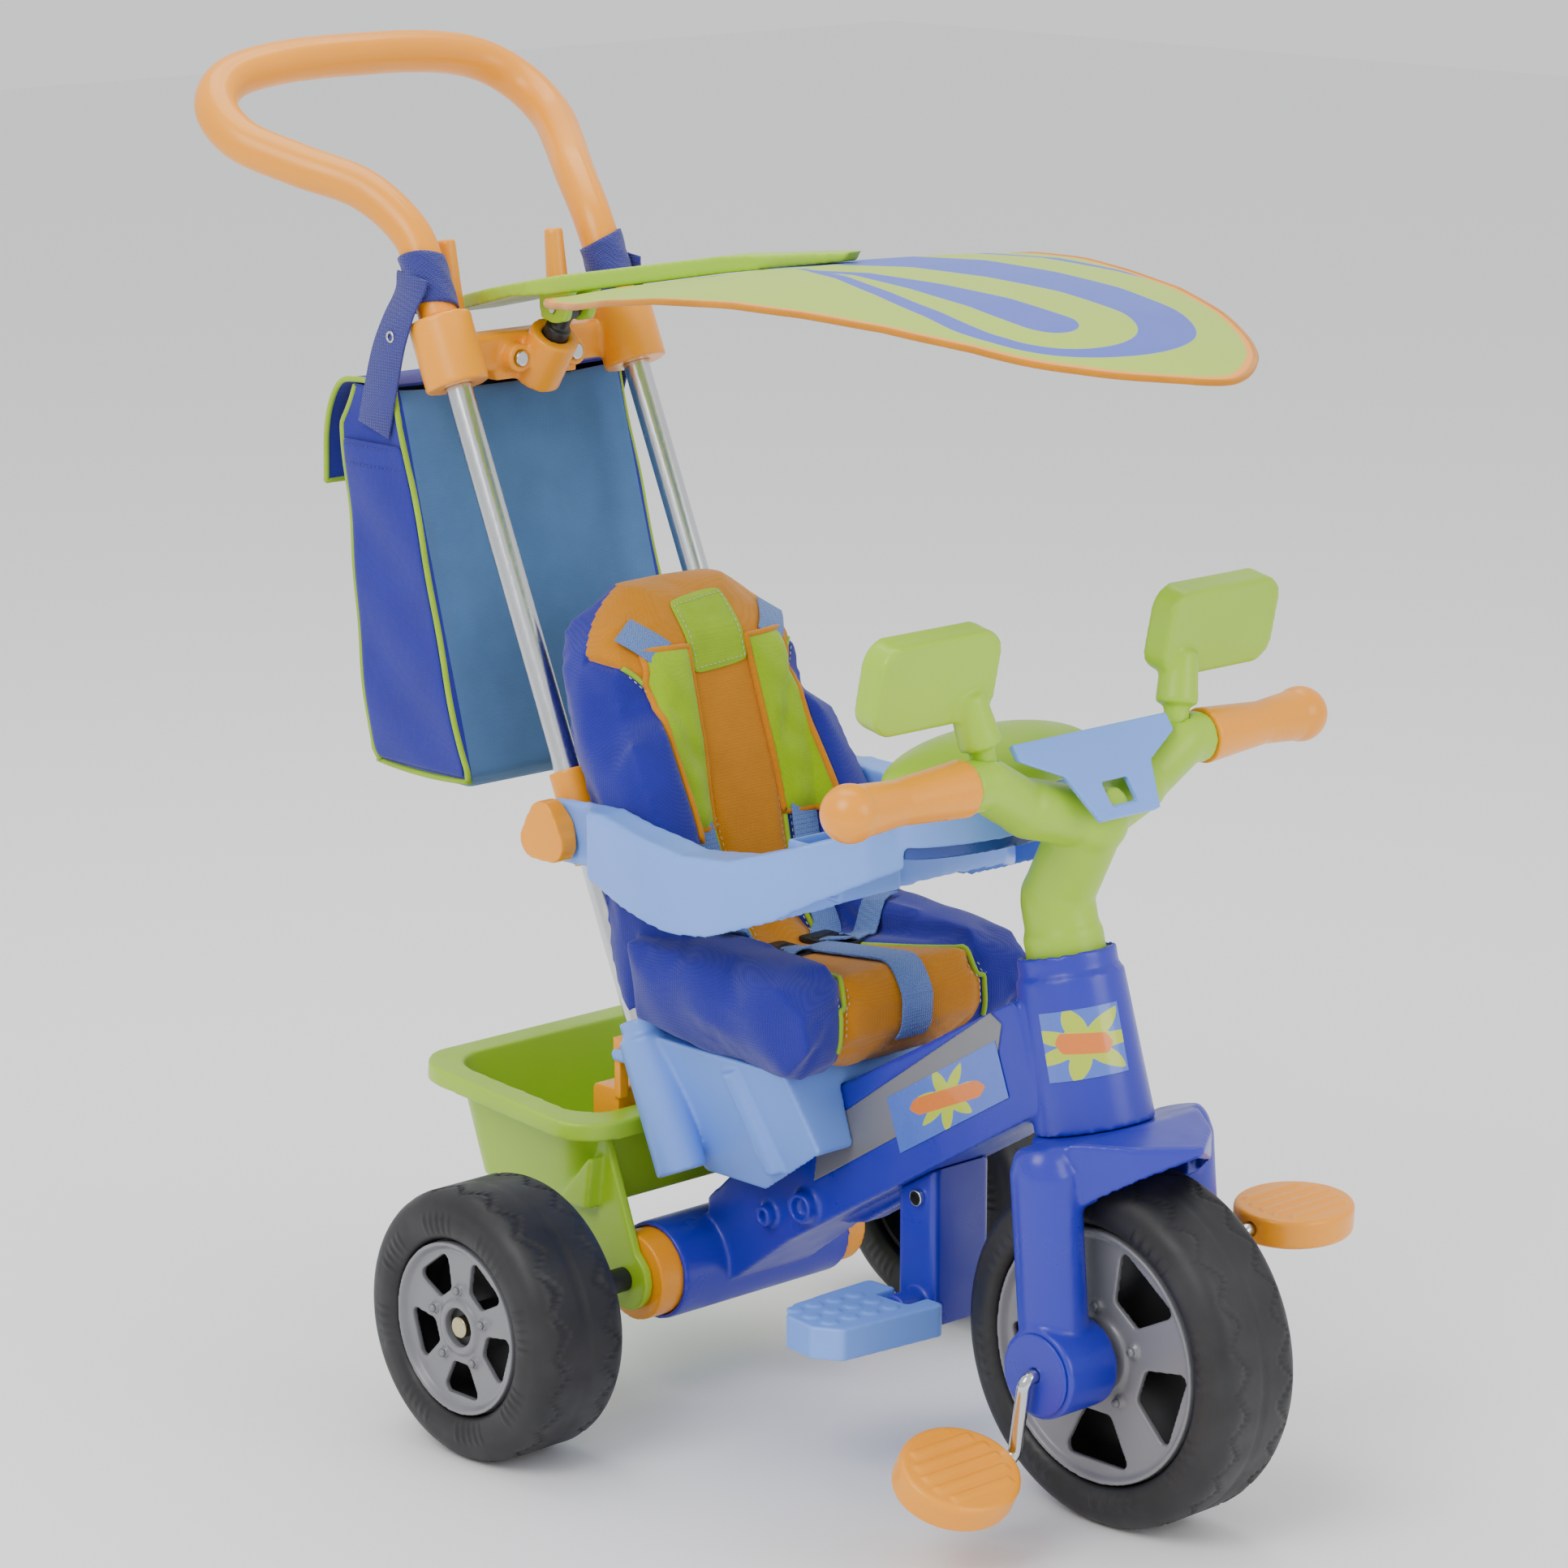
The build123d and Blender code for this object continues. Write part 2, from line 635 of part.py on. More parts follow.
def build_seat():
    """Hidden seat shell and the padded cover over it."""
    base = saddle_top_z + 0.3
    shell = side_plate([(-26, base), (150, base), (150, base + seat_shell_t),
                        (-20, base + seat_shell_t), (-100, 560), (-105, 558)],
                       -seat_shell_half_w, seat_shell_half_w)
    save("seat_shell", shell)
    low = base + seat_shell_t + 0.3
    profile = [(-18, low), (150, low), (176, 292), (198, 312), (198, 336), (180, 348), (60, 336),
               (34, 352), (12, 420), (-30, 560), (-56, 606), (-84, 606), (-98, 570)]
    pad = side_plate(profile, -seat_half_w, seat_half_w)
    arch = front_plate([(-118, 280), (118, 280), (118, 372), (100, 380), (100, 500), (94, 545),
                        (76, 582), (44, 606), (0, 613), (-44, 606), (-76, 582), (-94, 545),
                        (-100, 500), (-100, 380), (-118, 372)], -200, 300)
    wing = side_plate([(12, 300), (60, 336), (60, 372), (36, 440), (4, 500), (-20, 520),
                       (-36, 500)], -seat_half_w, -seat_half_w + 30)
    bolster = side_plate([(14, 300), (176, 296), (198, 316), (194, 344), (170, 362), (60, 366),
                          (14, 362)], -seat_half_w - 18, -seat_half_w + 32)
    body = joined(pad, *both_sides(wing), *both_sides(bolster)) & arch
    body = without(body, tube_space(250, 620, 0.5) + both_sides(clamp_sleeve(0.5)))
    neck = rod(tube_point(250), tube_point(socket_top_z + 4), socket_r + 0.5)
    save("seat_cover", without(body, both_sides(neck)))


# ---------------------------------------------------------------- push handle
def build_push_handle():
    """Aluminium tubes and the moulded loop pushed over their ends."""
    tube = rod(tube_point(tube_foot_z + 0.5), tube_point(tube_head_z), tube_d / 2)
    tube -= rod(tube_point(tube_foot_z - 20), tube_point(tube_head_z + 20), tube_d / 2 - tube_wall)
    save_both("push_tubes", tube)

    points = [Vector(*tube_point(786)), Vector(*tube_point(846)),
              Vector(-378, -handle_half_w - 8, 912),
              Vector(-handle_rear, -handle_half_w + 20, handle_top)]
    points += [Vector(p.X, -p.Y, p.Z) for p in reversed(points)]
    route = FilletPolyline(*points, radius=handle_bend_r)
    start = Plane(route @ 0, z_dir=route % 0)
    loop = sweep(start * Circle(handle_tube_d / 2), path=route)
    save("push_handle", without(loop, tube_space(770, tube_head_z + 0.5, seat_gap)))


def build_yoke():
    """Crosspiece with a collar on each tube, two bag hooks and the canopy socket."""
    collar = rod(tube_point(737), tube_point(785.5), 24)
    prong = cone((-250, -52, 760), (-259, -53, 838), 10, 7)
    bar = round_edges(block(-244, -216, -90, 90, 742, 770), 6, Axis.Y)
    web = block(-240, -218, -40, 40, 735, 765)
    socket = rod(canopy_axis_point(-68), canopy_axis_point(-26), 19)
    wing = rod((-236, -27, 752), (-204, -27, 752), 11)
    body = joined(bar, web, socket, *both_sides(wing), *both_sides(collar), *both_sides(prong))
    body = without(body, tube_space(700, 830, seat_gap))
    recess = rod((-208, -27, 752), (-190, -27, 752), bolt_head_r + seat_gap)
    body = without(body, both_sides(recess))
    body -= rod(canopy_axis_point(-60), canopy_axis_point(0), canopy_post_d / 2 + seat_gap)
    save("handle_yoke", body)


def build_bolts():
    """Bolt heads on the footrest post and in the yoke's recesses."""
    post_bolt = rod((222, -28 - seat_gap, 196), (222, -32, 196), bolt_head_r)
    yoke_bolt = rod((-208 + seat_gap, -27, 752), (-202, -27, 752), bolt_head_r)
    yoke_bolt -= rod(canopy_axis_point(-70), canopy_axis_point(0), 12)
    save("bolts", *both_sides(post_bolt), *both_sides(yoke_bolt))


def canopy_axis_point(distance):
    """Point on the canopy post's axis, measured up from the canopy's tilt pin."""
    return Vector(canopy_pivot_x, 0, canopy_pivot_z) + canopy_post_dir * distance


# ---------------------------------------------------------------- canopy
canopy_line = [(-150, 802), (0, 829), (120, 848), (240, 848), (360, 834), (477, 804)]
canopy_plan = [(-150, 50), (-60, 110), (30, 165), (100, 186), (200, 170), (300, 145), (380, 112),
               (440, 66), (477, 0)]


def mirrored_plan(half):
    """Whole plan outline from its left-hand half, rear to front."""
    return half + [(x, -y) for x, y in reversed(half) if y > 0]


def build_canopy():
    """Post, tilting bracket, its pin and the curved sheet."""
    pivot = (canopy_pivot_x, canopy_pivot_z)
    post = rod(canopy_axis_point(-59.5), canopy_axis_point(-18), canopy_post_d / 2)
    eye = rod((pivot[0], -7, pivot[1]), (pivot[0], 7, pivot[1]), 9)
    neck = rod(canopy_axis_point(-20), canopy_axis_point(-6), 7)
    bore = rod((pivot[0], -30, pivot[1]), (pivot[0], 30, pivot[1]), canopy_pin_r + fit)
    save("canopy_post", joined(post, neck, eye) - bore)
    save("canopy_pin", rod((pivot[0], -16, pivot[1]), (pivot[0], 16, pivot[1]), canopy_pin_r))

    on_sheet = [(x, z + canopy_t + 0.3) for x, z in canopy_line[:3]]
    top = [(126, 860), (0, 846), (-150, 820), (-230, 803), (-285, 789)]
    spine = side_plate([(-285, 778), (-200, 800)] + on_sheet + top, -60, 60)
    plan = mirrored_plan([(-285, 18), (-262, 35), (-180, 44), (-100, 30), (-20, 16), (100, 14),
                          (126, 6)])
    bracket = spine & top_plate(plan, 700, 900)
    cheek = side_plate([(-200, 806), (-196, 782), (-182, 779), (-168, 782), (-160, 808)], 8, 15)
    bracket = joined(bracket, *both_sides(cheek))
    save("canopy_bracket",
         bracket - rod((pivot[0], -30, pivot[1]), (pivot[0], 30, pivot[1]),
                       canopy_pin_r + seat_gap / 2))

    band = canopy_line + [(x, z + canopy_t) for x, z in reversed(canopy_line)]
    sheet = side_plate(band, -200, 200) & top_plate(mirrored_plan(canopy_plan), 700, 900)
    save("canopy_sheet", sheet)


# ---------------------------------------------------------------- bag
def build_bag():
    """Open-topped soft bag behind the push tubes, its flap and the straps it hangs by."""
    side = [(-252, 732), (-300, 732), (-316, 700), (-303, 590), (-286, 450), (-262, 438),
            (-184, 438), (-172, 452)]
    bag = round_edges(side_plate(side, -bag_half_w, bag_half_w), 4, Axis.Y)
    inside = [(-254, 740), (-297, 740), (-313.6, 700), (-301, 590), (-284, 452), (-262, 440),
              (-186, 440), (-175, 453)]
    bag -= side_plate(inside, -bag_half_w + bag_wall, bag_half_w - bag_wall)
    save("tote_bag", bag)
    flap = side_plate([(-250, 732.4), (-300, 732.4), (-316.6, 700), (-333, 650), (-342, 650),
                       (-345, 672), (-322, 736), (-250, 736)], -bag_half_w + 2, bag_half_w - 2)
    save("bag_flap", flap)

    leg_r = handle_tube_d / 2
    band = rod(tube_point(793), tube_point(826), leg_r + 0.3 + strap_t)
    band -= rod(tube_point(780), tube_point(846), leg_r + 0.3)
    outer = tube_half_gap + leg_r + 0.3
    side_y = bag_half_w + 0.3
    fall = front_plate([(-outer, 815), (-outer, 800), (-side_y, 789), (-side_y, 690),
                        (-side_y - strap_t, 690), (-side_y - strap_t, 790),
                        (-outer - strap_t, 801), (-outer - strap_t, 815)], -320, -200)
    fall &= side_plate([(-256, 803), (-218, 803), (-252, 690), (-290, 690)], -130, -90)
    save_both("bag_straps", band + fall)


# ---------------------------------------------------------------- tray
tray_outer = [(-36, 112), (-10, 136), (60, 148), (150, 150), (215, 140), (256, 112), (280, 70),
              (290, 0)]
tray_inner = [(-24, 106), (40, 116), (120, 118), (180, 108), (204, 70), (212, 0)]
tray_upper = [(5, 456), (69, 449), (101, 445), (152, 450), (200, 465), (252, 484), (300, 498)]
tray_lower = [(300, 474), (252, 446), (190, 412), (127, 390), (88, 386), (34, 394), (-14, 406)]


def tray_hoop(inset):
    """Top view of the ring, its band narrower by inset on both sides."""
    x0 = tube_x(tray_pivot_z)
    outer = [(x0, tray_side_gap + tray_disc_t - inset)]
    outer += [(x - inset * (x > 250), y - inset * (x < 270)) for x, y in tray_outer]
    inner = [(x0, tray_side_gap + inset)]
    inner += [(x + inset * (x > 200), y + inset * (x < 206)) for x, y in tray_inner]
    right_outer = [(x, -y) for x, y in outer]
    left_outer = list(reversed(outer))[1:]
    right_inner = [(x, -y) for x, y in reversed(inner)][1:]
    return top_plate(right_outer + left_outer + inner + right_inner, 300, 600)


def tray_profile(drop, lift):
    """Side view of the ring between its hinge and its front, thinned from below."""
    x0 = tube_x(tray_pivot_z)
    upper = [(x0 - 30, 448 - drop), (x0, 450 - drop)] + [(x, z - drop) for x, z in tray_upper]
    lower = [(x, z - lift) for x, z in tray_lower] + [(x0, 404 - lift), (x0 - 30, 404 - lift)]
    return side_plate(upper + lower, -170, 170)


def lid_shape(grow, low, high):
    """Oval slab of the lid's outline, larger by grow."""
    oval = Plane((lid_x, 0, low)) * Ellipse(lid_half_l + grow, lid_half_w + grow)
    return extrude(oval, high - low)


def build_tray():
    """Safety ring with a cup pocket, a bowl stand and the lid's hinge pin."""
    x0 = tube_x(tray_pivot_z)
    ring = tray_hoop(0) & tray_profile(0, 0)
    ring -= tray_hoop(tray_wall) & tray_profile(tray_wall, 30)
    disc = rod((x0, -tray_side_gap, tray_pivot_z),
               (x0, -tray_side_gap - tray_disc_t, tray_pivot_z), 23)
    bore = rod((x0, -200, tray_pivot_z), (x0, 200, tray_pivot_z), clamp_stud_r + fit)
    stand = lid_shape(-6, 470, lid_base_z - 0.3)
    cup = block(166, 219, -104, -44, 424, 462)
    hinge_x = lid_x - lid_half_l - lid_hinge_out
    ear = block(hinge_x - 4, lid_x - lid_half_l + 8, 15, 20, 494, lid_base_z - 0.3)
    ear += rod((hinge_x, 15, lid_hinge_z), (hinge_x, 20, lid_hinge_z), 4)
    ear += block(hinge_x - 4, hinge_x + 4, 15, 20, 494, lid_hinge_z)
    pin = rod((hinge_x, -17, lid_hinge_z), (hinge_x, 17, lid_hinge_z), lid_pin_r)
    ring = joined(ring, *both_sides(disc), stand, cup, *both_sides(ear), pin)
    ring -= bore
    ring -= lid_shape(-8.5, 400, 600)
    ring -= block(168.5, 216.5, -101.5, -46.5, 427, 490)
    save("safety_tray", ring)


def build_tray_lid():
    """Bowl that sits in the tray's stand and the domed lid hinged over it."""
    bowl = lid_shape(-9.2, 462, lid_base_z - 3) - lid_shape(-11.7, 464.5, 600)
    save("tray_bowl", bowl)
    top = lid_base_z + 8
    dome_h = lid_dome - 8
    slab = lid_shape(0, lid_base_z, top)
    crown = Pos(lid_x, 0, top) * scale(Sphere(1), by=(lid_half_l, lid_half_w, dome_h))
    crown &= block(0, 500, -200, 200, top - 0.1, 600)
    hollow = Pos(lid_x, 0, lid_base_z - 1) * scale(
        Sphere(1), by=(lid_half_l - 4, lid_half_w - 4, lid_dome - 3))
    hinge_x = lid_x - lid_half_l - lid_hinge_out
    knuckle = rod((hinge_x, -14, lid_hinge_z), (hinge_x, 14, lid_hinge_z), 4)
    knuckle += block(hinge_x, hinge_x + 9, -14, 14, lid_base_z, lid_hinge_z + 3)
    bore = rod((hinge_x, -20, lid_hinge_z), (hinge_x, 20, lid_hinge_z), lid_pin_r + fit)
    save("tray_lid", joined(slab, crown) - hollow + (knuckle - bore))


def clamp_sleeve(grow):
    """Right-hand sleeve round the push tube, larger by grow, without its bore."""
    x0 = tube_x(tray_pivot_z)
    sleeve = rod(tube_point(402 - grow), tube_point(466 + grow), 14.5 + grow)
    sleeve += rod((x0, -tube_half_gap, tray_pivot_z),
                  (x0, -tray_side_gap + 0.3, tray_pivot_z), 15 + grow)
    return sleeve


def build_tray_clamps():
    """Sleeve on each push tube with the stud that the tray turns on, and its knob."""
    x0 = tube_x(tray_pivot_z)
    outer = tray_side_gap + tray_disc_t
    stud = rod((x0, -tube_half_gap, tray_pivot_z), (x0, -outer - 10, tray_pivot_z), clamp_stud_r)
    body = clamp_sleeve(0) + stud
    save_both("tray_clamps", body - rod(tube_point(380), tube_point(490), tube_d / 2 + seat_gap))
    face = -outer - 0.6
    knob = rod((x0, face, tray_pivot_z), (x0, face - knob_t, tray_pivot_z), knob_r - 5)
    for lobe in range(3):
        angle = math.radians(120 * lobe + 90)
        x = x0 + 11 * math.cos(angle)
        z = tray_pivot_z + 11 * math.sin(angle)
        knob += rod((x, face - 2, z), (x, face - knob_t, z), knob_r - 11)
    knob -= rod((x0, 0, tray_pivot_z), (x0, face - 10, tray_pivot_z), clamp_stud_r + fit)
    save_pair("tray_knob", knob)


# ---------------------------------------------------------------- latch levers
def build_latches():
    """Lever behind each seat socket that frees the push tube."""
    y = -tube_half_gap
    half = latch_arm_t / 2
    head = rod((latch_x, y - half, latch_z), (latch_x, y + half, latch_z), 6.5)
    arm = block(latch_x - 5, latch_x + 1.5, y - half, y + half, latch_z - 34, latch_z)
    thumb = block(latch_x - 6, latch_x + 4, y - half, y + half, latch_z, latch_z + 12)
    paddle = round_edges(block(latch_x - 31, latch_x - 3, y - 2, y + 26, latch_z - 58,
                               latch_z - 28), 4, Axis.Y)
    lever = joined(head, arm, thumb, paddle)
    lever -= rod((latch_x, y - 20, latch_z), (latch_x, y + 10, latch_z), latch_pin_r + fit)
    save_pair("latch_lever", lever)


# ---------------------------------------------------------------- basket
def basket_box(grow, z0, z1, taper):
    """Rounded box of the basket's outline, smaller lower down by taper."""
    middle_x = (basket_rear_x + basket_front_x) / 2
    length = basket_front_x - basket_rear_x + 2 * grow
    width = 2 * (basket_half_w + grow)
    low = Plane((middle_x, 0, z0)) * RectangleRounded(length - taper, width - taper, 24)
    high = Plane((middle_x, 0, z1)) * RectangleRounded(length, width, 30)
    return loft([low, high])


def build_basket():
    """Rear basket with a sloping rolled rim and two feet that hang on the axle rod."""
    middle_x = (basket_rear_x + basket_front_x) / 2
    tilt = Rot(0, basket_rim_tilt, 0)
    outer = basket_box(-basket_rim_w, basket_floor_z, basket_rim_z + 16, basket_taper)
    inside = basket_box(-basket_rim_w - basket_wall, basket_floor_z + basket_wall,
                        basket_rim_z + 16, basket_taper)
    rim = extrude(RectangleRounded(basket_front_x - basket_rear_x, 2 * basket_half_w, 36),
                  -basket_rim_h)
    rim = Pos(middle_x, 0, basket_rim_z) * tilt * rim
    above = Pos(middle_x, 0, basket_rim_z + 49.9) * tilt * Box(400, 400, 100)
    y1 = axle_tube_half + bush_plug_len + seat_gap
    foot = side_plate([(-70, 150), (-26, 205), (-20, 205), (13, 118), (24, 100), (13, 80),
                       (-12, 78), (-24, 100)], -y1 - basket_foot_t, -y1)
    foot += rod((0, -y1 - basket_foot_t, rear_r), (0, -y1, rear_r), 24)
    gusset = side_plate([(-60, 150), (-24, 190), (-20, 190), (-26, 150)], -y1 - 22, -y1)
    body = joined(outer - above, rim, *both_sides(foot), *both_sides(gusset))
    body -= rod((0, -200, rear_r), (0, 200, rear_r), axle_rod_d / 2 + seat_gap / 2)
    save("rear_basket", body - inside)


# ---------------------------------------------------------------- harness and bag straps
def seat_front_x(z):
    """X of the seat back's padded front at height z."""
    return 12 - 0.3 * (z - 420)


def build_harness():
    """Shoulder pads, webbing and buckles that lie on the seat cover."""
    low = seat_front_x(432)
    high = seat_front_x(560)
    pad = side_plate([(high + 0.4, 560), (low + 0.4, 432), (low + 12, 432), (high + 12, 560)],
                     -68, -34)
    save_both("shoulder_pads", pad)
    foot = seat_front_x(431)
    strap = side_plate([(foot + 0.4, 431), (22.1, 390), (36.1, 353.1), (75, 338.1),
                        (75, 340.1), (38.1, 355.6), (25.1, 392), (foot + 3, 431)], -64, -40)
    crotch = side_plate([(100, 340.4), (180.2, 348.4), (198.4, 336.2), (198.4, 302), (200.5, 302),
                         (200.5, 337.2), (181, 350.4), (100, 342.4)], -16, 16)
    save("harness_webbing", *both_sides(strap), crotch)
    buckle = block(58, 98, -38, -8, 340.2, 350.2)
    save_both("buckles", round_edges(buckle, 3, Axis.Z))


def main():
    """Build every sub-part and write one STEP file for each."""
    build_main_frame()
    build_rear_axle()
    build_rear_wheels()
    build_front_wheel()
    build_crank()
    build_pedals()
    build_fork()
    build_fork_fittings()
    build_head_bushes()
    build_handlebar()
    build_footrest()
    build_seat_base()
    build_seat()
    build_push_handle()
    build_yoke()
    build_bolts()
    build_canopy()
    build_bag()
    build_tray()
    build_tray_lid()
    build_tray_clamps()
    build_latches()
    build_basket()
    build_harness()
    os.makedirs("parts", exist_ok=True)
    for name, shape in nodes.items():
        export_step(shape, f"parts/{name}.step")


main()
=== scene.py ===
"""Looks of a children's tricycle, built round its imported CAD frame.

Sizes inside the classes are millimetres measured from the rear axle, and at() turns them into
the frame's metres.  Hard mouldings take their shape from the CAD nodes, with every edge
rounded; cloth, tyres and the canopy are modelled here.
"""
import logging
import math
from collections.abc import Callable, Sequence
from dataclasses import dataclass, field
from enum import Enum

import bmesh
import bpy
import numpy as np
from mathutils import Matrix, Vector
from mathutils.bvhtree import BVHTree


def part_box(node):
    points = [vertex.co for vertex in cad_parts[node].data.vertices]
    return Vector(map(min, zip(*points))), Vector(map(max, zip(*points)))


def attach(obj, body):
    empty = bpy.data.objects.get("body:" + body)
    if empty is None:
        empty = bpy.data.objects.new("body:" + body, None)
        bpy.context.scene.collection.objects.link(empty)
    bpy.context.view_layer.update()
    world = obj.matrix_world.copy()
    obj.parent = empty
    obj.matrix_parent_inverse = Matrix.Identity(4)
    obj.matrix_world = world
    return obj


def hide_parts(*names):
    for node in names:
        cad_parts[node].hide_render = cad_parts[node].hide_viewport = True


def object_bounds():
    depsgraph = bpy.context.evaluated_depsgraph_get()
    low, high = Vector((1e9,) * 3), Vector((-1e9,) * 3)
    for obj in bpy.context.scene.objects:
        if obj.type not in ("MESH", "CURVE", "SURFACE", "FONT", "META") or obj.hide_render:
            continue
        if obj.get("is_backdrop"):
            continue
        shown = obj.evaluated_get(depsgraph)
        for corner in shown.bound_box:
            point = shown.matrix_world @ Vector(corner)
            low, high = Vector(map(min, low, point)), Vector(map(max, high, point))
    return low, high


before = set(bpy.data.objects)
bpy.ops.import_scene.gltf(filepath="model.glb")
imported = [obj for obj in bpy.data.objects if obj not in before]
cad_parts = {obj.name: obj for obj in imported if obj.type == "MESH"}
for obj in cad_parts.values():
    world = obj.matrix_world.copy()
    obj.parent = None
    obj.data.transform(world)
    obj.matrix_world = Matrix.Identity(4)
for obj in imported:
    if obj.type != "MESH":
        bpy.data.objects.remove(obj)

log = logging.getLogger("tricycle")

Point = tuple[float, float, float]
Colour = tuple[float, float, float]
MM = 0.001
CAD_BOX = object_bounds()
AXLE_LOW, AXLE_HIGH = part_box("rear_axle_rod")
AXLE_X = (AXLE_LOW.x + AXLE_HIGH.x) / 2


def at(x: float, y: float, z: float) -> Vector:
    """Point of the frame, in metres, from millimetres ahead of the rear axle."""
    return Vector((AXLE_X + x * MM, y * MM, z * MM))


def smooth_step(low: float, high: float, value: float) -> float:
    """0 below low, 1 above high, and a smooth S between them."""
    t = min(1.0, max(0.0, (value - low) / (high - low)))
    return t * t * (3 - 2 * t)


def along(points: Sequence[tuple[float, ...]], value: float) -> tuple[float, ...]:
    """Straight-line look-up in rows that start with a rising key.

    Args:
        points: rows of (key, value, value, ...).
        value: the key to look up.
    Returns:
        The values at that key.
    """
    if value <= points[0][0]:
        return tuple(points[0][1:])
    for low, high in zip(points, points[1:]):
        if value <= high[0]:
            t = (value - low[0]) / (high[0] - low[0])
            return tuple(a + (b - a) * t for a, b in zip(low[1:], high[1:]))
    return tuple(points[-1][1:])


def spline(points: Sequence[Vector], steps: int, closed: bool = False) -> list[Vector]:
    """Smooth line through the points.

    Args:
        points: the points it passes.
        steps: pieces between one point and the next.
        closed: whether the last point joins the first.
    Returns:
        The points of the smooth line.
    """
    count = len(points)
    spans = count if closed else count - 1
    line = []
    for i in range(spans):
        if closed:
            a, b, c, d = (points[(i + k) % count] for k in (-1, 0, 1, 2))
        else:
            a, b, c, d = (points[min(max(i + k, 0), count - 1)] for k in (-1, 0, 1, 2))
        for step in range(steps):
            t = step / steps
            line.append(0.5 * ((2 * b) + (c - a) * t + (2 * a - 5 * b + 4 * c - d) * t ** 2
                               + (3 * b - a - 3 * c + d) * t ** 3))
    if not closed:
        line.append(points[-1].copy())
    return line


# ---------------------------------------------------------------- meshes
def make_piece(name: str, verts: Sequence[Vector], faces: Sequence[Sequence[int]]) -> bpy.types.Object:
    """New mesh object at the origin, smooth shaded, with its faces turned outwards.

    Args:
        name: the piece's name.
        verts: points in metres.
        faces: corner indices of each face.
    Returns:
        The new piece.
    """
    mesh = bpy.data.meshes.new(name)
    mesh.from_pydata([tuple(v) for v in verts], [], [tuple(f) for f in faces])
    mesh.update()
    piece = bpy.data.objects.new(name, mesh)
    bpy.context.scene.collection.objects.link(piece)
    clean(piece)
    return piece


def clean(piece: bpy.types.Object, merge: float = 1e-6) -> None:
    """Merge doubles, turn faces outwards and shade smooth.

    Args:
        piece: the piece to work on.
        merge: distance under which points are merged, in metres.
    """
    work = bmesh.new()
    work.from_mesh(piece.data)
    bmesh.ops.remove_doubles(work, verts=work.verts, dist=merge)
    bmesh.ops.recalc_face_normals(work, faces=work.faces)
    work.to_mesh(piece.data)
    work.free()
    piece.data.polygons.foreach_set("use_smooth", [True] * len(piece.data.polygons))
    piece.data.update()


def bake(piece: bpy.types.Object) -> bpy.types.Object:
    """Turn the piece's modifiers into plain mesh and remove them."""
    graph = bpy.context.evaluated_depsgraph_get()
    mesh = bpy.data.meshes.new_from_object(piece.evaluated_get(graph))
    piece.modifiers.clear()
    piece.data = mesh
    return piece


def tube(name: str, line: Sequence[Vector], radius: float | Callable[[float], float],
         sides: int = 10, closed: bool = False) -> bpy.types.Object:
    """Round bar along a line.

    Args:
        name: the piece's name.
        line: the middle line, in metres.
        radius: one radius in metres, or a function of the share of the way along.
        sides: sides of the cross-section.
        closed: whether the line joins up.
    Returns:
        The new piece.
    """
    verts, faces = [], []
    count = len(line)
    up = Vector((0, 0, 1))
    side = None
    for i, middle in enumerate(line):
        ahead = line[(i + 1) % count] if closed else line[min(i + 1, count - 1)]
        behind = line[i - 1] if closed or i else line[0]
        run = (ahead - behind).normalized()
        if side is None:
            side = run.cross(up)
            side = side.normalized() if side.length > 0.05 else run.cross(Vector((0, 1, 0))).normalized()
        else:
            side = (side - run * side.dot(run)).normalized()
        rise = side.cross(run)
        size = radius(i / (count - 1)) if callable(radius) else radius
        for k in range(sides):
            angle = 2 * math.pi * k / sides
            verts.append(middle + side * size * math.cos(angle) + rise * size * math.sin(angle))
    rings = count if closed else count - 1
    for i in range(rings):
        j = (i + 1) % count
        for k in range(sides):
            n = (k + 1) % sides
            faces.append((i * sides + k, i * sides + n, j * sides + n, j * sides + k))
    if not closed:
        faces.append(tuple(range(sides))[::-1])
        faces.append(tuple((count - 1) * sides + k for k in range(sides)))
    return make_piece(name, verts, faces)


def ribbon(name: str, line: Sequence[Vector], across: Vector, width: float,
           thick: float = 1.6 * MM) -> bpy.types.Object:
    """Flat webbing along a line.

    Args:
        name: the piece's name.
        line: the middle line, in metres.
        across: the direction of the webbing's width.
        width: its width in metres.
        thick: its thickness in metres.
    Returns:
        The new piece.
    """
    verts, faces = [], []
    count = len(line)
    for i, middle in enumerate(line):
        run = (line[min(i + 1, count - 1)] - line[max(i - 1, 0)]).normalized()
        side = (across - run * across.dot(run)).normalized()
        rise = side.cross(run)
        for a, b in ((-0.5, -0.5), (-0.5, 0.5), (0.5, 0.5), (0.5, -0.5)):
            verts.append(middle + side * width * a + rise * thick * b)
    for i in range(count - 1):
        for k in range(4):
            n = (k + 1) % 4
            faces.append((i * 4 + k, i * 4 + n, i * 4 + 4 + n, i * 4 + 4 + k))
    faces.append((3, 2, 1, 0))
    faces.append(tuple((count - 1) * 4 + k for k in range(4)))
    piece = make_piece(name, verts, faces)
    bevel = piece.modifiers.new("edge", "BEVEL")
    bevel.width = thick * 0.3
    bevel.segments = 2
    bevel.limit_method = "ANGLE"
    return bake(piece)


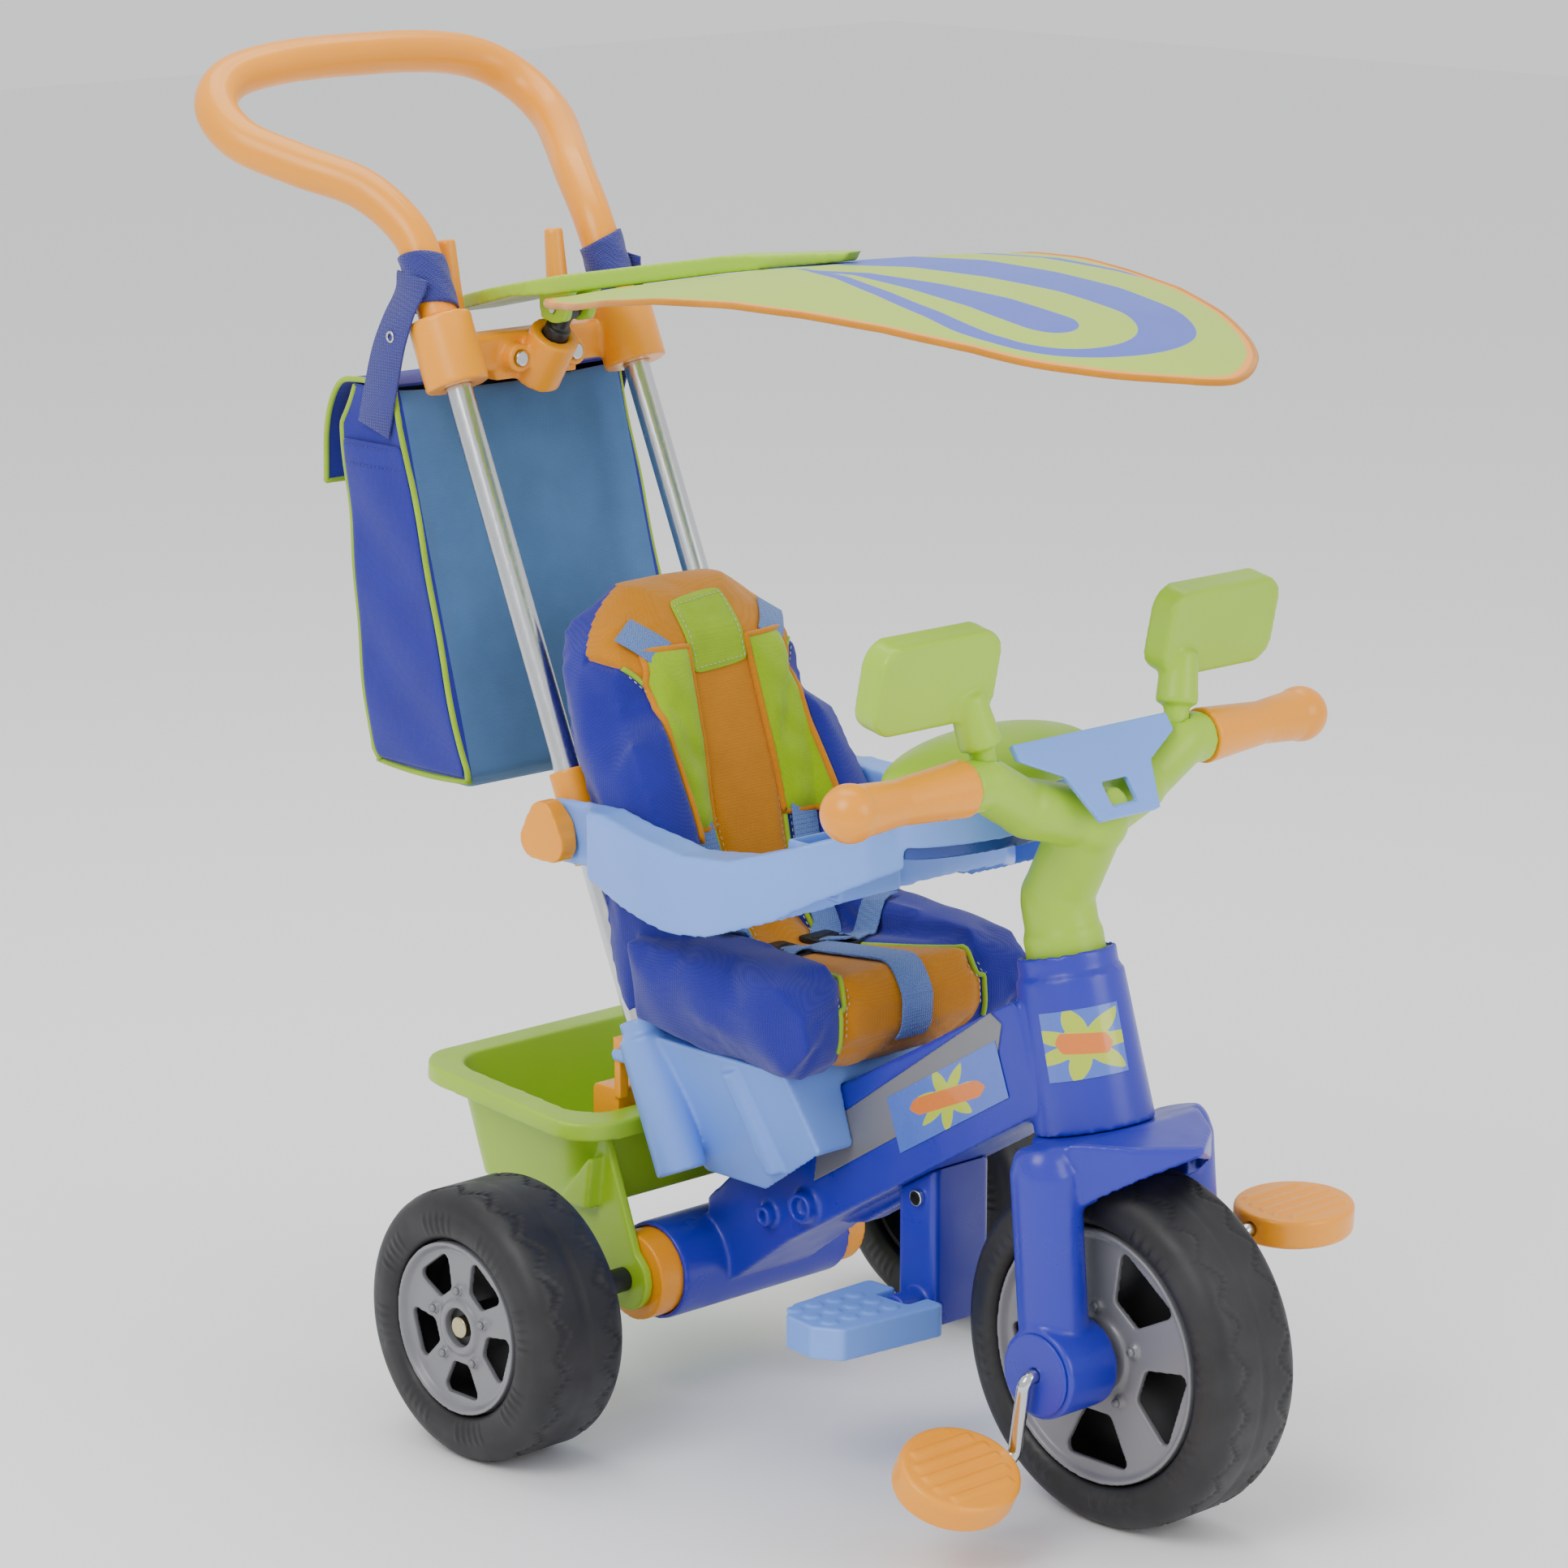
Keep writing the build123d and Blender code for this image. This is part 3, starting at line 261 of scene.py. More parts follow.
def join(name: str, pieces: Sequence[bpy.types.Object]) -> bpy.types.Object:
    """One piece from several, with their material slots kept.

    Args:
        name: the piece's name.
        pieces: the pieces; they are used up.
    Returns:
        The joined piece.
    """
    work = bmesh.new()
    slots: list[bpy.types.Material] = []
    for piece in pieces:
        first = len(work.faces)
        work.from_mesh(piece.data)
        work.faces.ensure_lookup_table()
        lookup = []
        for material in piece.data.materials:
            if material not in slots:
                slots.append(material)
            lookup.append(slots.index(material))
        for face in work.faces[first:]:
            if lookup:
                face.material_index = lookup[min(face.material_index, len(lookup) - 1)]
    mesh = bpy.data.meshes.new(name)
    work.to_mesh(mesh)
    work.free()
    for material in slots:
        mesh.materials.append(material)
    for piece in pieces:
        bpy.data.objects.remove(piece)
    whole = bpy.data.objects.new(name, mesh)
    bpy.context.scene.collection.objects.link(whole)
    return whole


def node_copy(name: str, *nodes: str) -> bpy.types.Object:
    """Merged copy of CAD nodes, free to be reshaped.

    Args:
        name: the piece's name.
        nodes: the CAD nodes.
    Returns:
        The copy.
    """
    work = bmesh.new()
    for node in nodes:
        work.from_mesh(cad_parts[node].data)
    bmesh.ops.remove_doubles(work, verts=work.verts, dist=5e-6)
    mesh = bpy.data.meshes.new(name)
    work.to_mesh(mesh)
    work.free()
    piece = bpy.data.objects.new(name, mesh)
    bpy.context.scene.collection.objects.link(piece)
    return piece


def soften(piece: bpy.types.Object, voxel: float = 1.6, passes: int = 4) -> bpy.types.Object:
    """Round every edge of a moulding, as draft and wear do.

    Args:
        piece: the piece to reshape.
        voxel: size of the remesh in millimetres.
        passes: smoothing passes; more passes round the edges further.
    Returns:
        The same piece, with a plain mesh.
    """
    remesh = piece.modifiers.new("skin", "REMESH")
    remesh.mode = "VOXEL"
    remesh.voxel_size = voxel * MM
    relax = piece.modifiers.new("relax", "SMOOTH")
    relax.factor = 0.5
    relax.iterations = passes
    bake(piece)
    piece.data.polygons.foreach_set("use_smooth", [True] * len(piece.data.polygons))
    return piece


def fair(piece: bpy.types.Object, rounds: int) -> bpy.types.Object:
    """Round off facets and corners without thinning the walls.

    Args:
        piece: the evenly meshed piece to reshape.
        rounds: pairs of a smoothing and an opposite, slightly stronger step.
    Returns:
        The same piece.
    """
    mesh = piece.data
    count = len(mesh.vertices)
    ends = np.empty(2 * len(mesh.edges), dtype=np.int32)
    mesh.edges.foreach_get("vertices", ends)
    a, b = ends[0::2], ends[1::2]
    near = np.bincount(a, minlength=count) + np.bincount(b, minlength=count)
    flat = np.empty(3 * count, dtype=np.float32)
    mesh.vertices.foreach_get("co", flat)
    spots = flat.reshape(-1, 3).astype(np.float64)
    for _ in range(rounds):
        for step in (0.6, -0.62):
            for axis in range(3):
                values = spots[:, axis]
                total = (np.bincount(a, values[b], count) + np.bincount(b, values[a], count))
                spots[:, axis] = values + step * (total / np.maximum(near, 1) - values)
    mesh.vertices.foreach_set("co", spots.astype(np.float32).ravel())
    mesh.update()
    return piece


def inflate(piece: bpy.types.Object, voxel: float, cap: float, pressure: float = 4.0) -> None:
    """Swell a closed piece as stuffed cloth.

    Args:
        piece: the closed piece.
        voxel: remesh size in millimetres.
        cap: furthest that a point may move, in millimetres.
        pressure: air pressure of the cloth.
    """
    remesh = piece.modifiers.new("skin", "REMESH")
    remesh.mode = "VOXEL"
    remesh.voxel_size = voxel * MM
    bake(piece)
    start = [v.co.copy() for v in piece.data.vertices]
    cloth = piece.modifiers.new("cloth", "CLOTH")
    cloth.settings.use_pressure = True
    cloth.settings.uniform_pressure_force = pressure
    cloth.settings.effector_weights.gravity = 0
    cloth.settings.quality = 5
    cloth.point_cache.frame_start = 1
    cloth.point_cache.frame_end = 20
    for step in range(1, 21):
        bpy.context.scene.frame_set(step)
    bake(piece)
    bpy.context.scene.frame_set(1)
    for vertex, old in zip(piece.data.vertices, start):
        move = vertex.co - old
        if move.length > cap * MM:
            vertex.co = old + move.normalized() * cap * MM
    relax = piece.modifiers.new("relax", "SMOOTH")
    relax.factor = 0.5
    relax.iterations = 3
    divide = piece.modifiers.new("divide", "SUBSURF")
    divide.levels = 1
    divide.render_levels = 1
    bake(piece)
    piece.data.polygons.foreach_set("use_smooth", [True] * len(piece.data.polygons))


def paint(piece: bpy.types.Object, name: str, value: Callable[[Vector], float]) -> None:
    """Store a number on every vertex, worked out from its place in axle millimetres."""
    mesh = piece.data
    layer = mesh.attributes.get(name) or mesh.attributes.new(name, "FLOAT", "POINT")
    shift = Vector((AXLE_X, 0, 0))
    layer.data.foreach_set("value", [value((v.co - shift) / MM) for v in mesh.vertices])


def displace(piece: bpy.types.Object, push: Callable[[Point, int], float]) -> None:
    """Move every vertex along its normal.

    Args:
        piece: the piece to reshape.
        push: millimetres to move, from the vertex's place in axle millimetres and its index.
    """
    mesh = piece.data
    normals = [v.normal.copy() for v in mesh.vertices]
    places = [v.co.copy() for v in mesh.vertices]
    flat: list[float] = []
    for i, (place, normal) in enumerate(zip(places, normals)):
        spot = ((place.x - AXLE_X) / MM, place.y / MM, place.z / MM)
        flat.extend(place + normal * push(spot, i) * MM)
    mesh.vertices.foreach_set("co", flat)
    mesh.update()


def groove(piece: bpy.types.Object, name: str, depth: float, half: float) -> None:
    """Press a sewn line into the cloth where a painted distance is near zero."""
    values = [d.value for d in piece.data.attributes[name].data]
    displace(piece, lambda spot, i: -depth * math.exp(-(values[i] / half) ** 2))


# ---------------------------------------------------------------- finishes
class Graph:
    """Small helper that builds one material's node tree."""

    def __init__(self, name: str) -> None:
        """Start a material with a Principled shader.

        Args:
            name: the piece's name.
        """
        self.material = bpy.data.materials.new(name)
        self.material.use_nodes = True
        self.tree = self.material.node_tree
        self.tree.nodes.clear()
        self.shader = self.add("ShaderNodeBsdfPrincipled")
        out = self.add("ShaderNodeOutputMaterial")
        self.link(self.shader.outputs[0], out.inputs[0])
        self.place = self.add("ShaderNodeTexCoord").outputs["Object"]

    def add(self, kind: str, **values: object) -> bpy.types.Node:
        """New node, with its properties or sockets set by name.

        Args:
            kind: the node's type.
            values: properties or plain inputs by name.
        Returns:
            The node.
        """
        node = self.tree.nodes.new(kind)
        for key, value in values.items():
            if hasattr(node, key):
                setattr(node, key, value)
            else:
                node.inputs[key.replace("_", " ")].default_value = value
        return node

    def link(self, source: bpy.types.NodeSocket, target: bpy.types.NodeSocket) -> None:
        """Join two sockets."""
        self.tree.links.new(source, target)

    def noise(self, scale: float, detail: float = 3.0, stretch: Point = (1, 1, 1)) -> bpy.types.NodeSocket:
        """Noise on Object coordinates, stretched along the axes.

        Args:
            scale: noise scale, per metre.
            detail: noise detail.
            stretch: scale along each axis.
        Returns:
            The noise value.
        """
        spread = self.add("ShaderNodeMapping")
        spread.inputs["Scale"].default_value = stretch
        self.link(self.place, spread.inputs["Vector"])
        node = self.add("ShaderNodeTexNoise", Scale=scale, Detail=detail)
        self.link(spread.outputs[0], node.inputs["Vector"])
        return node.outputs[0]

    def span(self, source: bpy.types.NodeSocket, low: float, high: float,
             to_low: float = 0.0, to_high: float = 1.0) -> bpy.types.NodeSocket:
        """Map a number from one range onto another, clamped.

        Args:
            source: the value coming in.
            low: start of the range coming in.
            high: end of the range coming in.
            to_low: start of the range going out.
            to_high: end of the range going out.
        Returns:
            The mapped number.
        """
        node = self.add("ShaderNodeMapRange")
        for key, value in (("From Min", low), ("From Max", high), ("To Min", to_low),
                           ("To Max", to_high)):
            node.inputs[key].default_value = value
        self.link(source, node.inputs["Value"])
        return node.outputs[0]

    def math(self, kind: str, a: bpy.types.NodeSocket,
             b: bpy.types.NodeSocket | float = 0.0) -> bpy.types.NodeSocket:
        """One Math node.

        Args:
            kind: the operation.
            a: first value.
            b: second value, or the socket that gives it.
        Returns:
            The socket holding the operation's value.
        """
        node = self.add("ShaderNodeMath", operation=kind)
        self.link(a, node.inputs[0])
        if isinstance(b, (int, float)):
            node.inputs[1].default_value = b
        else:
            self.link(b, node.inputs[1])
        return node.outputs[0]

    def mix(self, share: bpy.types.NodeSocket, a: Colour | bpy.types.NodeSocket,
            b: Colour | bpy.types.NodeSocket) -> bpy.types.NodeSocket:
        """Blend two colours by a share.

        Args:
            share: share of the second value.
            a: colour at 0.
            b: colour at 1.
        Returns:
            The blended colour.
        """
        node = self.add("ShaderNodeMix", data_type="RGBA")
        self.link(share, node.inputs[0])
        for value, socket in ((a, node.inputs[6]), (b, node.inputs[7])):
            if isinstance(value, tuple):
                socket.default_value = (*value, 1)
            else:
                self.link(value, socket)
        return node.outputs[2]

    def attribute(self, name: str) -> bpy.types.NodeSocket:
        """A painted number."""
        return self.add("ShaderNodeAttribute", attribute_name=name).outputs["Fac"]

    def weave(self, pitch: float) -> bpy.types.NodeSocket:
        """Height of crossed threads, the same from any side of the cloth.

        Args:
            pitch: spacing of the threads or stitches in millimetres.
        Returns:
            The height.
        """
        parts = self.add("ShaderNodeSeparateXYZ")
        self.link(self.place, parts.inputs[0])
        waves = []
        for axis in range(3):
            turn = self.math("MULTIPLY", parts.outputs[axis], 2 * math.pi / (pitch * MM))
            waves.append(self.math("SINE", turn))
        total = self.math("MULTIPLY", waves[0], waves[2])
        for a, b in ((1, 2), (0, 1)):
            total = self.math("ADD", total, self.math("MULTIPLY", waves[a], waves[b]))
        return total

    def bump(self, height: bpy.types.NodeSocket, depth: float, strength: float = 1.0) -> None:
        """Relief on the shader, in millimetres; a second call lies over the first.

        Args:
            height: the relief.
            depth: its depth in millimetres.
            strength: how much of it shows.
        """
        node = self.add("ShaderNodeBump", Strength=strength, Distance=depth * MM)
        self.link(height, node.inputs["Height"])
        old = self.shader.inputs["Normal"].links
        if old:
            self.link(old[0].from_socket, node.inputs["Normal"])
        self.link(node.outputs[0], self.shader.inputs["Normal"])

    def finish(self, colour: bpy.types.NodeSocket | Colour,
               roughness: bpy.types.NodeSocket | float, **values: float) -> bpy.types.Material:
        """Set the shader's colour, roughness and any other plain values.

        Args:
            colour: the colour.
            roughness: the roughness.
            values: other plain values of the shader by name.
        Returns:
            The material.
        """
        for value, key in ((colour, "Base Color"), (roughness, "Roughness")):
            if isinstance(value, tuple):
                self.shader.inputs[key].default_value = (*value, 1)
            elif isinstance(value, float):
                self.shader.inputs[key].default_value = value
            else:
                self.link(value, self.shader.inputs[key])
        for key, value in values.items():
            self.shader.inputs[key.replace("_", " ")].default_value = value
        return self.material


def shade(colour: Colour, factor: float) -> Colour:
    """A lighter or darker version of a colour."""
    return tuple(min(1.0, c * factor) for c in colour)


@dataclass(frozen=True)
class MouldedPlastic:
    """Satin plastic with slight moulding texture, drift of colour and rubbed patches."""
    name: str
    colour: Colour
    roughness: float = 0.36
    texture: float = 0.05
    coat: float = 0.06

    def material(self) -> bpy.types.Material:
        """Build the finish.

        Returns:
            The material.
        """
        g = Graph(self.name)
        drift = g.span(g.noise(7, 2), 0.3, 0.7)
        colour = g.mix(drift, shade(self.colour, 0.93), shade(self.colour, 1.05))
        rubbed = g.span(g.noise(26, 5), 0.35, 0.75, self.roughness - 0.07, self.roughness + 0.1)
        g.bump(g.noise(900, 2), self.texture)
        g.bump(g.noise(24, 1), 0.25, 0.35)
        return g.finish(colour, rubbed, Coat_Weight=self.coat, Coat_Roughness=0.25)


@dataclass(frozen=True)
class Metal:
    """Bare or plated metal, brushed along one axis."""
    name: str
    colour: Colour
    roughness: float
    stretch: Point = (1, 1, 1)
    scale: float = 60.0

    def material(self) -> bpy.types.Material:
        """Build the finish.

        Returns:
            The material.
        """
        g = Graph(self.name)
        lines = g.noise(self.scale, 6, self.stretch)
        rough = g.span(lines, 0.25, 0.75, self.roughness - 0.06, self.roughness + 0.08)
        colour = g.mix(g.span(g.noise(14, 3), 0.3, 0.7), shade(self.colour, 0.9), self.colour)
        g.bump(lines, 0.02, 0.5)
        return g.finish(colour, rough, Metallic=1.0)


@dataclass(frozen=True)
class TyreRubber:
    """Blow-moulded black tyre, dull on the tread and dusty in places."""
    name: str
    colour: Colour = (0.012, 0.012, 0.013)

    def material(self) -> bpy.types.Material:
        """Build the finish.

        Returns:
            The material.
        """
        g = Graph(self.name)
        dust = g.span(g.noise(18, 6), 0.45, 0.8)
        colour = g.mix(dust, self.colour, shade(self.colour, 2.2))
        rough = g.span(g.noise(40, 4), 0.3, 0.7, 0.42, 0.58)
        g.bump(g.noise(1100, 2), 0.06)
        return g.finish(colour, rough, Specular_IOR_Level=0.45)


@dataclass(frozen=True)
class Cloth:
    """Woven cloth in one colour, with soft wear and fine creases."""
    name: str
    colour: Colour
    pitch: float = 1.5
    depth: float = 0.12
    sheen: float = 0.25
    crease: float = 1.2

    def dress(self, g: Graph, colour: bpy.types.NodeSocket | Colour) -> bpy.types.Material:
        """Weave, creases and sheen over a colour that is already worked out.

        Args:
            g: the material's graph.
            colour: the colour.
        Returns:
            The material.
        """
        threads = g.weave(self.pitch)
        worn = g.span(g.noise(30, 6), 0.3, 0.75)
        if isinstance(colour, tuple):
            body = g.mix(worn, shade(colour, 0.86), shade(colour, 1.08))
        else:
            dark = g.add("ShaderNodeHueSaturation", Value=0.86)
            g.link(colour, dark.inputs["Color"])
            body = g.mix(worn, dark.outputs[0], colour)
        thread = g.add("ShaderNodeHueSaturation", Value=0.82)
        g.link(body, thread.inputs["Color"])
        final = g.mix(g.span(threads, -1.2, 1.2), thread.outputs[0], body)
        g.bump(g.noise(26, 4, (1, 1, 0.6)), self.crease, 0.5)
        g.bump(threads, self.depth, 0.7)
        return g.finish(final, 0.86, Sheen_Weight=self.sheen, Sheen_Roughness=0.5,
                        Specular_IOR_Level=0.2)

    def material(self) -> bpy.types.Material:
        """Build the finish."""
        return self.dress(Graph(self.name), self.colour)


@dataclass(frozen=True)
class PanelCloth(Cloth):
    """Cloth that changes colour across a painted seam distance, in millimetres."""
    other: Colour = (0, 0, 0)
    attribute: str = "panel"

    def material(self) -> bpy.types.Material:
        """Build the finish."""
        g = Graph(self.name)
        side = g.span(g.attribute(self.attribute), -0.3, 0.3)
        return self.dress(g, g.mix(side, self.colour, self.other))


@dataclass(frozen=True)
class Webbing:
    """Ribbed nylon webbing."""
    name: str
    colour: Colour

    def material(self) -> bpy.types.Material:
        """Build the finish."""
        g = Graph(self.name)
        threads = g.weave(2.2)
        colour = g.mix(g.span(threads, -1, 1), shade(self.colour, 0.72), shade(self.colour, 1.1))
        g.bump(threads, 0.25, 0.9)
        return g.finish(colour, 0.62, Sheen_Weight=0.2)


@dataclass(frozen=True)
class PrintedSheet:
    """Canopy sheet: coloured bands laid down by painted distances, in millimetres."""
    name: str
    ground: Colour
    print_colour: Colour
    border: Colour

    def material(self) -> bpy.types.Material:
        """Build the finish.

        Returns:
            The material.
        """
        g = Graph(self.name)
        ink = g.span(g.attribute("ink"), -0.4, 0.4)
        hem = g.span(g.attribute("hem"), -0.4, 0.4)
        colour = g.mix(ink, self.ground, self.print_colour)
        colour = g.mix(hem, self.border, colour)
        g.bump(g.weave(0.9), 0.05, 0.5)
        g.bump(g.noise(9, 2), 1.2, 0.35)
        return g.finish(colour, 0.5, Sheen_Weight=0.1)


@dataclass(frozen=True)
class Decal:
    """Glossy printed label with plain coloured bursts and no lettering."""
    name: str
    ground: Colour
    burst: Colour
    spark: Colour

    def material(self) -> bpy.types.Material:
        """Build the finish.

        Returns:
            The material.
        """
        g = Graph(self.name)
        burst = g.span(g.attribute("burst"), -0.3, 0.3)
        spark = g.span(g.attribute("spark"), -0.3, 0.3)
        colour = g.mix(burst, self.ground, self.burst)
        colour = g.mix(spark, colour, self.spark)
        rough = g.span(g.noise(60, 4), 0.3, 0.7, 0.2, 0.34)
        return g.finish(colour, rough, Coat_Weight=0.4)


class Slot(str, Enum):
    """The record's material slots that pieces take their finish from."""
    ROYAL = "royal_blue_plastic"
    LIGHT = "light_blue_plastic"
    # Dark blue here is painted shade: it stands for the light-blue tray's front underside lying in shadow.
    PAINTED_SHADE_BLUE = "navy_plastic"
    GREEN = "green_plastic"
    ORANGE = "orange_plastic"
    GREY = "grey_plastic"
    BLACK = "black_plastic"
    STEEL = "steel"
    BRASS = "brass_plate"
    TUBE = "aluminium_tube"
    TYRE = "tyre_black"
    SEAT = "seat_cloth"
    PAD = "pad_cloth"
    STRAP = "webbing"
    BAG = "bag_cloth"
    CANOPY = "canopy_cloth"


BLUE: Colour = (0.022, 0.025, 0.42)
LIGHT_BLUE: Colour = (0.18, 0.36, 0.93)
GREEN: Colour = (0.36, 0.60, 0.018)
ORANGE: Colour = (0.98, 0.34, 0.0)
SEAT_ORANGE: Colour = (0.70, 0.25, 0.0)
CLOTH_BLUE: Colour = (0.020, 0.022, 0.34)


class Palette:
    """Every finish on the tricycle, built once."""

    def __init__(self) -> None:
        """Build the materials."""
        self.by_slot: dict[Slot, bpy.types.Material] = {
            Slot.ROYAL: MouldedPlastic("royal_blue", BLUE, 0.34).material(),
            Slot.LIGHT: MouldedPlastic("light_blue", LIGHT_BLUE, 0.38).material(),
            # Painted shade: a darker blue for the shaded underside of the light-blue tray.
            Slot.PAINTED_SHADE_BLUE: MouldedPlastic("tray_painted_shade_blue", (0.012, 0.05, 0.30), 0.3).material(),
            Slot.GREEN: MouldedPlastic("yellow_green", GREEN, 0.4).material(),
            Slot.ORANGE: MouldedPlastic("orange", ORANGE, 0.33).material(),
            Slot.GREY: MouldedPlastic("silver_grey", (0.19, 0.19, 0.205), 0.36, coat=0.4).material(),
            Slot.BLACK: MouldedPlastic("black", (0.012, 0.012, 0.013), 0.45).material(),
            Slot.STEEL: Metal("plated_steel", (0.62, 0.63, 0.65), 0.14).material(),
            Slot.BRASS: Metal("passivated_steel", (0.55, 0.48, 0.28), 0.25).material(),
            Slot.TUBE: Metal("drawn_aluminium", (0.66, 0.67, 0.69), 0.22, (1, 1, 0.03), 400).material(),
            Slot.TYRE: TyreRubber("tyre_rubber").material(),
            Slot.SEAT: PanelCloth("seat_cover_cloth", SEAT_ORANGE, other=CLOTH_BLUE).material(),
            Slot.PAD: Cloth("pad_cloth_green", (0.36, 0.58, 0.0)).material(),
            Slot.STRAP: Webbing("blue_webbing", (0.13, 0.24, 0.62)).material(),
            Slot.BAG: PanelCloth("bag_cloth_blue", (0.085, 0.21, 0.47), 1.1, 0.06,
                                 other=CLOTH_BLUE).material(),
            Slot.CANOPY: PrintedSheet("canopy_print", (0.40, 0.58, 0.015), (0.05, 0.10, 0.55),
                                      (0.95, 0.34, 0.0)).material(),
        }
        self.piping = Cloth("green_piping", (0.36, 0.58, 0.02), 1.2, 0.05, crease=0.3).material()
        self.binding = Cloth("orange_binding", SEAT_ORANGE, 1.2, 0.05, crease=0.3).material()
        self.thread = Cloth("pale_thread", (0.6, 0.62, 0.5), 0.8, 0.05, crease=0.1).material()
        self.dark_webbing = Webbing("navy_webbing", (0.02, 0.025, 0.26)).material()
        self.decal = Decal("side_label", (0.08, 0.16, 0.62), (0.50, 0.62, 0.03),
                           (0.80, 0.20, 0.02)).material()

    def give(self, piece: bpy.types.Object, slot: Slot) -> bpy.types.Object:
        """Dress a piece in a slot's finish."""
        piece.data.materials.clear()
        piece.data.materials.append(self.by_slot[slot])
        return piece or piece

    def dress_node(self, node: str, slot: Slot) -> None:
        """Give a carried-over CAD node its better finish."""
        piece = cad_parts[node]
        if not piece.material_slots:
            piece.data.materials.append(self.by_slot[slot])
        for holder in piece.material_slots:
            holder.material = self.by_slot[slot]


@dataclass
class Assembly:
    """Base of every sub-assembly: its palette and the pieces it has made."""
    palette: Palette
    made: list[bpy.types.Object] = field(default_factory=list)

    def place(self, piece: bpy.types.Object, body: str, *nodes: str) -> bpy.types.Object:
        """Let a finished piece ride on a body, stand for CAD nodes, and be reported.

        Args:
            piece: the finished piece.
            body: the CAD body it moves with.
            nodes: the CAD nodes it stands for.
        Returns:
            The piece.
        """
        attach(piece, body)
        if nodes:
            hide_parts(*nodes)
        self.made.append(piece)
        log.info("%s: %s faces on %s", piece.name, len(piece.data.polygons), body)
        return piece

    def moulding(self, node: str, body: str, slot: Slot, voxel: float = 1.6, passes: int = 4,
                 rounds: int = 0) -> bpy.types.Object:
        """A CAD moulding with rounded edges and its finish.

        Args:
            node: the CAD node.
            body: the body it rides on.
            slot: the material slot of its finish.
            voxel: remesh size in millimetres.
            passes: smoothing passes.
            rounds: rounds of fairing, which takes out facets.
        Returns:
            The finished piece.
        """
        piece = soften(node_copy(f"{node}_moulding", node), voxel, passes)
        if rounds:
            fair(piece, rounds)
        self.palette.give(piece, slot)
        return self.place(piece, body, node)


# ---------------------------------------------------------------- geometry nodes
class NodeTree:
    """Small helper that builds a Geometry Nodes group with named inputs."""

    def __init__(self, name: str, inputs: Sequence[tuple[str, str, object]]) -> None:
        """Start a group.

        Args:
            name: the group's name.
            inputs: (name, socket type, default) of each input after Geometry.
        """
        self.group = bpy.data.node_groups.new(name, "GeometryNodeTree")
        face = self.group.interface
        face.new_socket("Geometry", in_out="INPUT", socket_type="NodeSocketGeometry")
        for title, kind, default in inputs:
            socket = face.new_socket(title, in_out="INPUT", socket_type=kind)
            if default is not None:
                socket.default_value = default
        face.new_socket("Geometry", in_out="OUTPUT", socket_type="NodeSocketGeometry")
        self.given = self.add("NodeGroupInput")
        self.result = self.add("NodeGroupOutput")

    def add(self, kind: str, **values: object) -> bpy.types.Node:
        """New node with its properties or plain inputs set.

        Args:
            kind: the node's type.
            values: properties or plain inputs by name.
        Returns:
            The node.
        """
        node = self.group.nodes.new(kind)
        for key, value in values.items():
            if hasattr(node, key):
                setattr(node, key, value)
            else:
                node.inputs[key.replace("_", " ")].default_value = value
        return node

    def link(self, source: bpy.types.NodeSocket, target: bpy.types.NodeSocket) -> None:
        """Join two sockets."""
        self.group.links.new(source, target)

    def close(self, geometry: bpy.types.NodeSocket) -> bpy.types.GeometryNodeTree:
        """Realize the instances, set the material and end the tree.

        Args:
            geometry: the geometry to finish.
        Returns:
            The finished group.
        """
        real = self.add("GeometryNodeRealizeInstances")
        self.link(geometry, real.inputs[0])
        smooth = self.add("GeometryNodeSetShadeSmooth")
        self.link(real.outputs[0], smooth.inputs[0])
        dress = self.add("GeometryNodeSetMaterial")
        self.link(smooth.outputs[0], dress.inputs["Geometry"])
        self.link(self.given.outputs["Material"], dress.inputs["Material"])
        self.link(dress.outputs[0], self.result.inputs[0])
        return self.group


